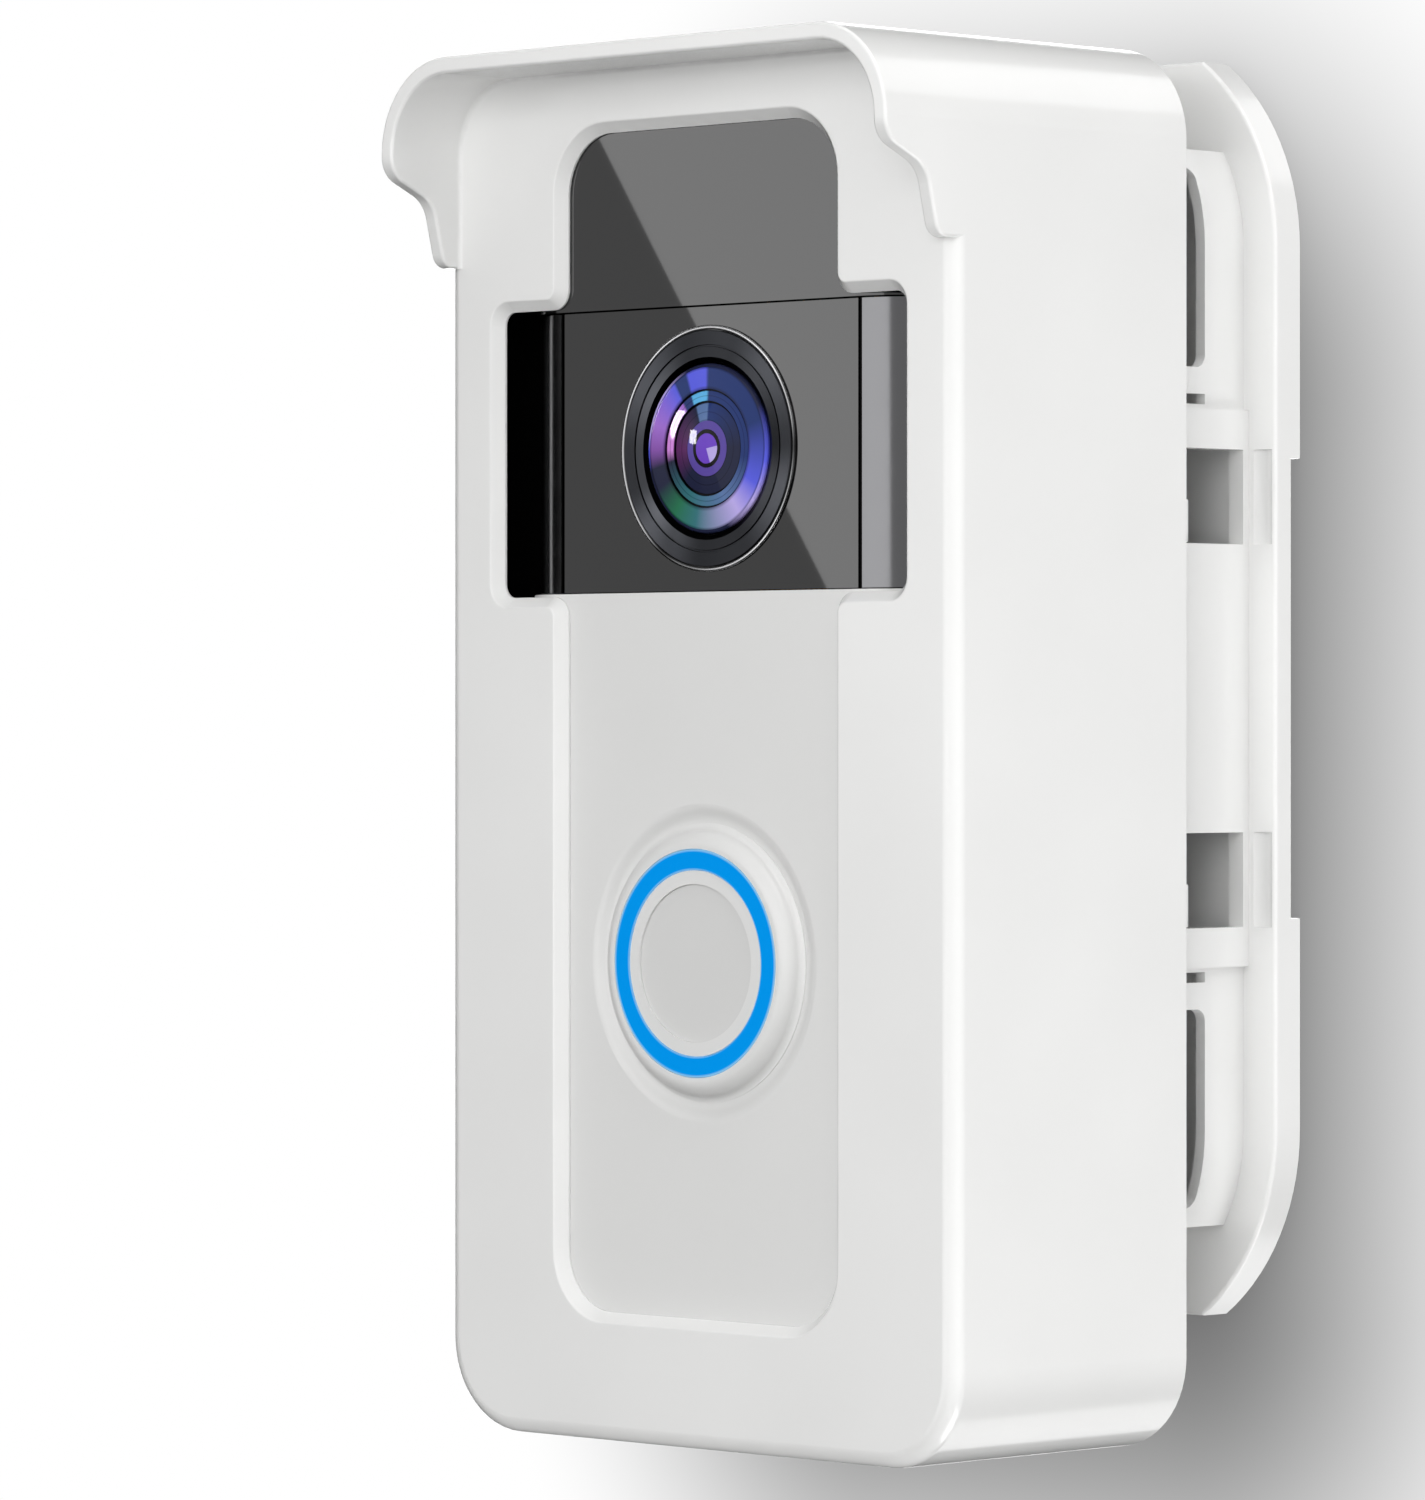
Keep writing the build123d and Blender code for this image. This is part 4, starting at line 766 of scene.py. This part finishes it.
def make_elements(centre):
    """Front of the lens: three elements, stepped down to the rim."""
    low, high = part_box("front_lens")
    rim = half_width("front_lens")
    top, back = low.y, high.y
    # Each element is a zone of a sphere: from radius, to radius, depth and sphere radius in millimetres
    zones = ((0.0, 4.85, 0.0, 42.0), (5.05, 6.1, 0.11, 94.0), (6.3, rim / MM - 0.25, 0.02, 260.0))
    profile = []
    steps, edge, groove, sunk = 8, 0.05, 0.15, 0.06
    for start, end, drop, ball in zones:
        for count in range(steps + 1):
            radius = start + (end - start) * count / steps
            sag = drop + (radius**2 - start**2) / (2 * ball)
            profile.append((radius * MM, top + sag * MM))
        profile.append(((end + edge) * MM, profile[-1][1] + sunk * MM))
        profile.append(((end + groove) * MM, profile[-1][1]))
    # The last groove is the bevel at the rim
    bevel, fall = 0.1 * MM, 0.2 * MM
    profile[-2:] = [(rim - bevel, profile[-3][1] + sunk * MM), (rim, profile[-3][1] + fall)]
    profile += [(rim, back), (0.0, back)]
    # Coated glass: violet, blue and green fans of painted reflection, with a dark line where each element
    # ends
    glass = coated_glass("glass_multicoated_painted_reflections", centre, rim)
    mesh = turned_mesh("lens_elements", profile, centre, glass)
    add_piece("lens_elements", mesh, "housing", "lens_glass", "front_lens")


class DOORBELL_OT_lens(bpy.types.Operator):
    """Turn the bezel, its hoop and the coated lens elements"""

    bl_idname = "doorbell.lens"
    bl_label = "Lens"

    def execute(self, context):
        props = context.scene.doorbell_lens
        centre = middle("front_lens")
        make_hoop(props, centre)
        make_bezel(props, centre)
        make_elements(centre)
        # Anodised black: a dim fan of light on fine rings
        barrel = turned_metal(
            "aluminium_black_anodised_barrel",
            linear("#2A2A2C"),
            roughness=0.45,
            centre=centre,
            inner=linear("#151516"),
            band=0.0,
            painted_fans=((-180, 1.0), (180, 1.0)),
        )
        dress(barrel, "lens_barrel")
        # Uncoated rear element: nearly colourless, so only its reflections show
        glass = polished("crown_glass_polished", linear("#14162A"), ripple=0.0, roughness=0.02, ior=1.52)
        dress(glass, "inner_lens")
        return {"FINISHED"}


def screw_tree(material):
    """Nodes that stand a threaded cross-recess screw on each of some points."""
    tree = bpy.data.node_groups.new("cross_recess_screw", "GeometryNodeTree")
    tree.interface.new_socket("Places", in_out="INPUT", socket_type="NodeSocketGeometry")
    for name in ("Head", "Height", "Shank", "Length", "Pitch", "Recess", "Tilt"):
        tree.interface.new_socket(name, in_out="INPUT", socket_type="NodeSocketFloat")
    tree.interface.new_socket("Screws", in_out="OUTPUT", socket_type="NodeSocketGeometry")
    add = partial(add_node, tree)
    given = add("NodeGroupInput").outputs
    # Head's radius and half height, bar's width, core's radius, half and threaded length, ridge's radius
    shares = []
    for name, part in (
        ("Head", 0.5),
        ("Height", 0.5),
        ("Head", 0.15),
        ("Shank", 0.4),
        ("Length", -0.5),
        ("Length", -0.94),
        ("Shank", 0.1),
    ):
        shares.append(add("ShaderNodeMath", {0: given[name], 1: part}, operation="MULTIPLY"))
    radius, half, thin, core, down, deep, ridge = shares
    drum = add(
        "GeometryNodeMeshCylinder",
        {"Vertices": 32, "Side Segments": 8, "Radius": radius, "Depth": given["Height"]},
    )
    lift = add("ShaderNodeCombineXYZ", {"Z": half})
    drum = add("GeometryNodeTransform", {"Geometry": drum, "Translation": lift})
    # The head narrows towards its crown, more and more
    taper, curve = 0.45, 3.0
    place = add("GeometryNodeInputPosition")
    split = add("ShaderNodeSeparateXYZ", {0: place})
    share = add("ShaderNodeMath", {0: split.outputs["Z"], 1: given["Height"]}, operation="DIVIDE")
    share = add("ShaderNodeMath", {0: share, 1: curve}, operation="POWER")
    share = add("ShaderNodeMath", {0: share, 1: -taper, 2: 1.0}, operation="MULTIPLY_ADD")
    dome = add("ShaderNodeCombineXYZ", {"X": share, "Y": share, "Z": 1.0})
    dome = add("ShaderNodeVectorMath", {0: place, 1: dome}, operation="MULTIPLY")
    head = add("GeometryNodeSetPosition", {"Geometry": drum, "Position": dome})
    wide = add("ShaderNodeMath", {0: given["Head"], 1: given["Recess"]}, operation="MULTIPLY")
    crown = add("ShaderNodeCombineXYZ", {"Z": given["Height"]})
    bars = []
    for x, y in ((wide, thin), (thin, wide)):
        size = add("ShaderNodeCombineXYZ", {"X": x, "Y": y, "Z": given["Height"]})
        bar = add("GeometryNodeMeshCube", {"Size": size})
        bars.append(add("GeometryNodeTransform", {"Geometry": bar, "Translation": crown}))
    head = add("GeometryNodeMeshBoolean", {0: head, 1: bars}, operation="DIFFERENCE")
    sink = add("ShaderNodeCombineXYZ", {"Z": down})
    rod = add("GeometryNodeMeshCylinder", {"Vertices": 24, "Radius": core, "Depth": given["Length"]})
    rod = add("GeometryNodeTransform", {"Geometry": rod, "Translation": sink})
    turns = add("ShaderNodeMath", {0: given["Length"], 1: given["Pitch"]}, operation="DIVIDE")
    helix = add(
        "GeometryNodeCurveSpiral",
        {"Resolution": 20, "Rotations": turns, "Start Radius": core, "End Radius": core, "Height": deep},
    )
    edge = add("GeometryNodeCurvePrimitiveCircle", {"Resolution": 4, "Radius": ridge})
    thread = add("GeometryNodeCurveToMesh", {"Curve": helix, "Profile Curve": edge, "Fill Caps": True})
    screw = add("GeometryNodeJoinGeometry", {0: [head, rod, thread]})
    tilt = add("ShaderNodeCombineXYZ", {"X": given["Tilt"]})
    spread = add(
        "GeometryNodeInstanceOnPoints", {"Points": given["Places"], "Instance": screw, "Rotation": tilt}
    )
    real = add("GeometryNodeRealizeInstances", {0: spread})
    done = add("GeometryNodeSetMaterial", {"Geometry": real, "Material": material})
    add("NodeGroupOutput", {0: done})
    return tree


def place_screws(tree, props, node, shank, height, out):
    """Screws in place of the plain ones of a CAD node, sized from it."""
    boxes = solids(node)
    seats = []
    for low, high in boxes:
        depth = high.y - height if out > 0 else low.y + height
        seats.append(((low.x + high.x) / 2, depth, (low.z + high.z) / 2))
    base = bpy.data.meshes.new(node + "_places")
    base.from_pydata(seats, [], [])
    holder = bpy.data.objects.new(node + "_places", base)
    bpy.context.scene.collection.objects.link(holder)
    modifier = holder.modifiers.new("screws", "NODES")
    modifier.node_group = tree
    low, high = boxes[0]
    sizes = {
        "Head": high.x - low.x,
        "Height": height,
        "Shank": shank,
        "Length": high.y - low.y - height,
        "Pitch": props.pitch,
        "Recess": props.recess,
        "Tilt": -math.pi / 2 * out,
    }
    for item in tree.interface.items_tree:
        if item.name in sizes:
            modifier[item.identifier] = sizes[item.name]
    graph = bpy.context.evaluated_depsgraph_get()
    mesh = bpy.data.meshes.new_from_object(holder.evaluated_get(graph))
    bpy.data.objects.remove(holder)
    crease = math.radians(30)
    mesh.set_sharp_from_angle(angle=crease)
    add_piece(node + "_threaded", mesh, "housing", "screw_steel", node)


class DOORBELL_OT_screws(bpy.types.Operator):
    """Make the cross-recess screws of the covers, boards and terminals"""

    bl_idname = "doorbell.screws"
    bl_label = "Screws"

    def execute(self, context):
        props = context.scene.doorbell_screws
        # Zinc plating: pale bluish crystals that blur what they mirror
        skin = {"roughness": 0.34, "cell": 0.35 * MM, "relief": 0.003 * MM, "drift": 0.82}
        zinc = rough_skin("steel_zinc_plated", linear("#B4B7BC"), metallic=1.0, **skin)
        tree = screw_tree(zinc)
        # Shank and height of the head in millimetres, and 1 where the head faces the back
        for node, shank, height, out in (
            ("cover_screws", 2.2, 1.2, 1),
            ("case_screws", 2.4, 1.8, 1),
            ("board_screws", 2.0, 1.3, -1),
            ("terminal_screws", 3.4, 1.6, 1),
        ):
            place_screws(tree, props, node, shank * MM, height * MM, out)
        return {"FINISHED"}


def make_speaker():
    """Speaker with its cone, surround and magnet."""
    low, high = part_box("speaker")
    radius = half_width("speaker")
    face, back = low.y, high.y
    # Dust cap, cone, surround, rim and basket: share of the radius, and depth in millimetres
    front = (
        (0.0, 1.2), (0.18, 1.35), (0.34, 1.9), (0.36, 2.1), (0.7, 0.9), (0.74, 0.45),
        (0.8, 0.25), (0.86, 0.45), (0.89, 0.7), (0.9, 0.0), (0.98, 0.0), (1.0, 0.15),
        (1.0, 1.6), (0.8, 2.6), (0.62, 2.9),
    )
    magnet = ((0.62, -0.2), (0.58, 0.0), (0.0, 0.0))
    profile = [(share * radius, face + depth * MM) for share, depth in front]
    profile += [(share * radius, back + depth * MM) for share, depth in magnet]
    # Coated paper and pressed steel under one coat of black lacquer
    skin = {"roughness": 0.5, "cell": 0.5 * MM, "relief": 0.01 * MM, "drift": 0.85}
    lacquer = rough_skin("steel_black_lacquered", linear("#1A1A1C"), **skin)
    mesh = turned_mesh("speaker_driver", profile, middle("speaker"), lacquer, sides=64)
    add_piece("speaker_driver", mesh, "housing", "cone_black", "speaker")


class DOORBELL_OT_electronics(bpy.types.Operator):
    """Dress the boards, the battery, the speaker and the terminals"""

    bl_idname = "doorbell.electronics"
    bl_label = "Electronics"

    def execute(self, context):
        # Solder mask: green, lighter over the copper runs, with gold pads left open in it
        mask, trace, pad = linear("#0E4A2A"), linear("#1B6A3C"), linear("#C9A24A")
        board = circuit_board("fr4_solder_masked", mask, trace, pad)
        dress(board, "main_board", "camera_board", "ir_board", "button_board", "power_board")
        # Moulded epoxy: dead black, with the grey speckle of its silica filler
        skin = {"roughness": 0.6, "cell": 0.12 * MM, "relief": 0.003 * MM, "drift": 0.7}
        chip = rough_skin("epoxy_black_moulded", linear("#242426"), ior=1.55, **skin)
        dress(chip, "image_sensor", "board_connector")
        # Tin plate: grey-white with large soft crystals
        skin = {"roughness": 0.3, "cell": 2.5 * MM, "relief": 0.002 * MM, "drift": 0.9}
        tin = rough_skin("steel_tin_plated", linear("#C4C4C0"), metallic=1.0, **skin)
        dress(tin, "shield_can", "microphone", "button_switch", "charge_port")
        # Machined brass: warm, in small patches of lighter and darker metal
        skin = {"roughness": 0.28, "cell": 0.4 * MM, "relief": 0.002 * MM, "drift": 0.85}
        brass = rough_skin("brass_machined", linear("#D2AE62"), metallic=1.0, **skin)
        dress(brass, "terminal_posts")
        # Rolled copper foil: long pale streaks
        pale, dark = linear("#C98C66"), linear("#B9785A")
        foil = {"metallic": 1.0, "roughness": 0.35, "wrinkle": 0.02 * MM}
        dress(film("copper_foil_rolled", pale, dark, pitch=0.6 * MM, direction="X", **foil), "antenna")
        # Polyimide ribbon: clear amber with copper runs under it
        pale, dark = linear("#B0701E"), linear("#8A4A12")
        flex = {"metallic": 0.0, "roughness": 0.25, "wrinkle": 0.01 * MM}
        dress(film("polyimide_ribbon", pale, dark, pitch=0.8 * MM, direction="X", **flex), "ribbon_cable")
        # Clear epoxy lamps: a bright skin over a pale die
        clear = polished("epoxy_clear_cast", linear("#D8DADC"), ripple=0.0, roughness=0.08, ior=1.54)
        dress(clear, "ir_leds", "ring_leds")
        # Cut foam: charcoal with dark pores
        skin = {"roughness": 0.9, "cell": 0.4 * MM, "relief": 0.1 * MM, "drift": 0.6}
        gasket = rough_skin("polyurethane_foam_gasket", linear("#303032"), **skin)
        dress(gasket, "speaker_gasket")
        # Laminated pouch: satin metal under clear nylon, slack enough to wrinkle
        pale, dark = linear("#8E9298"), linear("#82868C")
        satin = {"metallic": 0.6, "roughness": 0.34, "wrinkle": 0.12 * MM}
        wrap = film("aluminium_pouch_film", pale, dark, pitch=14 * MM, direction="Z", **satin)
        pouch = pad_mesh("battery_pouch", solids("battery"), wrap, corner=2 * MM, bulge=0.8 * MM)
        add_piece("battery_pouch", pouch, "housing", "cell_wrap", "battery")
        make_speaker()
        return {"FINISHED"}


def make_wall():
    """Wall and floor that only the camera sees, and only from their front, so they light nothing."""
    half, y, floor, top, near = 1.6, 0.2 * MM, -1.2, 1.2, -2.4
    mesh = bpy.data.meshes.new("wall")
    corners = [(-half, y, floor), (half, y, floor), (half, y, top), (-half, y, top)]
    corners += [(half, near, floor), (-half, near, floor)]
    mesh.from_pydata(corners, [], [(0, 1, 2, 3), (1, 0, 5, 4)])
    wall = bpy.data.objects.new("wall", mesh)
    bpy.context.scene.collection.objects.link(wall)
    material, add = new_material("wall_paint_painted_shadow")
    light = add("ShaderNodeLightPath")
    side = add("ShaderNodeNewGeometry")
    front = add(
        "ShaderNodeMath",
        {0: light.outputs["Is Camera Ray"], 1: side.outputs["Backfacing"]},
        operation="SUBTRACT",
        use_clamp=True,
    )
    # Painted shadow: the wide soft shadow that a light high on the left would throw, painted round a box,
    # and darker where the plate touches
    heart, core = (-2.5 * MM, 0.0, -19 * MM), (22.5 * MM, 1.0, 47 * MM)
    shadow_fade, darkest = 65 * MM, 0.2
    contact, contact_tone = 12 * MM, 0.75
    place = add("ShaderNodeTexCoord").outputs["Object"]
    arm = beyond_box(add, place, heart, core)
    arm = add("ShaderNodeVectorMath", {0: arm, 1: (0.0, 0.0, 0.0)}, operation="MAXIMUM")
    away = add("ShaderNodeVectorMath", {0: arm}, operation="LENGTH")
    soft = add(
        "ShaderNodeMapRange",
        {"Value": away, "From Max": shadow_fade, "To Min": darkest},
        interpolation_type="SMOOTHSTEP",
    )
    touch = add("ShaderNodeAmbientOcclusion", {"Distance": contact}, samples=16)
    touch = add("ShaderNodeMapRange", {"Value": touch.outputs["AO"], "To Min": contact_tone})
    tone = add("ShaderNodeMath", {0: soft, 1: touch}, operation="MULTIPLY")
    paint = add("ShaderNodeEmission", {"Color": linear("#FFFFFF"), "Strength": tone})
    clear = add("ShaderNodeBsdfTransparent")
    mix = add("ShaderNodeMixShader", {0: front, 1: clear, 2: paint})
    add("ShaderNodeOutputMaterial", {"Surface": mix})
    mesh.materials.append(material)


def make_light(name, place, target, size, power, unseen=None, up=(0.0, 0.0, 1.0)):
    """Area lamp that looks at a target; one kind of ray can be kept from seeing it."""
    data = bpy.data.lights.new(name, "AREA")
    data.shape = "RECTANGLE"
    data.size, data.size_y = size
    data.energy = power
    lamp = bpy.data.objects.new(name, data)
    bpy.context.scene.collection.objects.link(lamp)
    back = (Vector(place) - Vector(target)).normalized()
    across = Vector(up).cross(back).normalized()
    turn = Matrix((across, back.cross(across), back)).transposed()
    lamp.rotation_euler = turn.to_euler()
    lamp.location = place
    lamp.visible_camera = False
    if unseen:
        setattr(lamp, "visible_" + unseen, False)
    return lamp


def make_lights(props):
    """Lamps of the studio: some light the part, some are only mirrored in its gloss."""
    lens = middle("front_lens")
    heart, wide = (0, -0.04, 0), (0.6, 0.6)
    # Reflector card: its left edge is the slanting boundary mirrored in the window
    card, upright = lens + Vector((-0.4438, -1.2193, 0.0793)), (-0.4124, 0.2076, 0.8866)
    make_light("card", card, lens, (1.084, 0.9), props.card, "diffuse", upright)
    make_light("key", (0.33, -0.78, 0.12), (0, -0.05, 0), wide, props.key, "glossy")
    make_light("top", (0.48, -0.05, 0.92), heart, wide, props.top)
    make_light("bounce", (0.5, 0.14, -0.8), heart, wide, props.bounce)
    # Fill from behind the wall, so that the back of the part can be looked at as well
    make_light("back", (-0.7, 0.85, 0.1), (0, -0.02, 0), (0.8, 0.8), props.back)
    # Long panel on the right: its light runs down every edge that turns to the right
    make_light("panel", (0.8, 0.05, 0.1), heart, (1.25, 0.9), props.panel, "diffuse")
    # Two strips behind the wall: their light runs along the housing's top and bottom edges
    for name, place in (("hood", (0.36, 0.75, 0.64)), ("floor", (0.06, 0.72, -0.74))):
        make_light(name, place, heart, (0.6, 0.4), props.strips, "diffuse")
    # A small lamp that shines on the lens alone gives its two bright catch-lights
    place, small, power = lens + Vector((-0.776, -0.6245, 0.0805)), (0.05, 0.05), 0.7
    spark = make_light("spark", place, lens, small, power, "diffuse")
    lit = bpy.data.collections.new("lit_by_spark")
    lit.objects.link(bpy.data.objects["lens_elements"])
    spark.light_linking.receiver_collection = lit


def make_world(props):
    """Surroundings: white to the camera, a dark curtain to gloss, soft light to the rest."""
    world = bpy.data.worlds.new("studio")
    bpy.context.scene.world = world
    world.use_nodes = True
    world.node_tree.nodes.clear()
    add = partial(add_node, world.node_tree)
    light = add("ShaderNodeLightPath")
    mirrored = add(
        "ShaderNodeMath",
        {0: light.outputs["Is Glossy Ray"], 1: light.outputs["Is Transmission Ray"]},
        operation="MAXIMUM",
    )
    way = add("ShaderNodeTexCoord").outputs["Generated"]
    # Black curtain round the left and behind it: gloss on what turns that way goes dark
    drawn = (-0.906, 0.423, 0.0)
    left = add("ShaderNodeVectorMath", {0: way, 1: drawn}, operation="DOT_PRODUCT")
    start, end, unlit = 0.375, 0.41, 0.01
    curtain = add(
        "ShaderNodeMapRange",
        {"Value": left, "From Min": start, "From Max": end, "To Min": props.gloss, "To Max": unlit},
    )
    # Gloss sees a dim floor and a half-lit ceiling
    dim, white, half_lit = linear("#404040"), linear("#FFFFFF"), linear("#B4B4B4")
    height = add("ShaderNodeSeparateXYZ", {0: way})
    height = add("ShaderNodeMapRange", {"Value": height.outputs["Z"], "From Min": -1.0})
    stops = [(0.3, dim), (0.46, white), (0.64, white), (0.8, half_lit)]
    level = add("ShaderNodeValToRGB", {"Fac": height}, stops=stops)
    # Everything else sees light that grows towards the right, the front and the top
    bright_side, span = (0.45, -0.3, 0.65), 0.6
    rise = add("ShaderNodeVectorMath", {0: way, 1: bright_side}, operation="DOT_PRODUCT")
    rise = add(
        "ShaderNodeMapRange",
        {"Value": rise, "From Min": -span, "From Max": span, "To Max": 2 * props.ambient},
    )
    soft = add("ShaderNodeBackground", {"Color": white, "Strength": rise})
    bright = add("ShaderNodeBackground", {"Color": level, "Strength": curtain})
    mix = add("ShaderNodeMixShader", {0: mirrored, 1: soft, 2: bright})
    plain = add("ShaderNodeBackground", {"Color": white, "Strength": 1.0})
    mix = add("ShaderNodeMixShader", {0: light.outputs["Is Camera Ray"], 1: mix, 2: plain})
    add("ShaderNodeOutputWorld", {"Surface": mix})


class DOORBELL_OT_stage(bpy.types.Operator):
    """Set the wall, the floor, the lights, the surroundings and the camera"""

    bl_idname = "doorbell.stage"
    bl_label = "Stage"

    def execute(self, context):
        props = context.scene.doorbell_stage
        scene = context.scene
        scene.view_settings.view_transform = "Standard"
        make_wall()
        make_lights(props)
        make_world(props)
        camera = bpy.data.objects.new("camera", bpy.data.cameras.new("camera"))
        scene.collection.objects.link(camera)
        # Level and 45.25 degrees round to the right, through a long lens
        level, azimuth = math.radians(90), math.radians(45.25)
        camera.location = (0.5593, -0.6055, -0.00435)
        camera.rotation_euler = (level, 0, azimuth)
        camera.data.lens = 178.2
        camera.data.sensor_width = 36.0
        camera.data.shift_y = -0.014
        scene.camera = camera
        return {"FINISHED"}


class DOORBELL_PT_panel(bpy.types.Panel):
    """Lists what can be changed on the doorbell, and the steps that make it"""

    bl_idname = "DOORBELL_PT_panel"
    bl_label = "Doorbell"
    bl_space_type = "VIEW_3D"
    bl_region_type = "UI"
    bl_category = "Doorbell"

    def draw(self, context):
        for name in GROUPS:
            box = self.layout.box()
            props = getattr(context.scene, name)
            for key in props.__annotations__:
                box.prop(props, key)
        for kind in OPERATORS:
            self.layout.operator(kind.bl_idname)


GROUPS = {
    "doorbell_housing": HousingProps,
    "doorbell_bell": BellProps,
    "doorbell_lens": LensProps,
    "doorbell_screws": ScrewProps,
    "doorbell_stage": StageProps,
}
OPERATORS = (
    DOORBELL_OT_housing,
    DOORBELL_OT_shells,
    DOORBELL_OT_button,
    DOORBELL_OT_lens,
    DOORBELL_OT_screws,
    DOORBELL_OT_electronics,
    DOORBELL_OT_stage,
)
CLASSES = (*GROUPS.values(), *OPERATORS, DOORBELL_PT_panel)


def register():
    for kind in CLASSES:
        bpy.utils.register_class(kind)
    for name, kind in GROUPS.items():
        setattr(bpy.types.Scene, name, PointerProperty(type=kind))


def unregister():
    for name in GROUPS:
        delattr(bpy.types.Scene, name)
    for kind in reversed(CLASSES):
        bpy.utils.unregister_class(kind)


def main():
    register()
    bpy.ops.doorbell.housing()
    bpy.ops.doorbell.shells()
    bpy.ops.doorbell.button()
    bpy.ops.doorbell.lens()
    bpy.ops.doorbell.screws()
    bpy.ops.doorbell.electronics()
    bpy.ops.doorbell.stage()


if __name__ == "__main__":
    main()
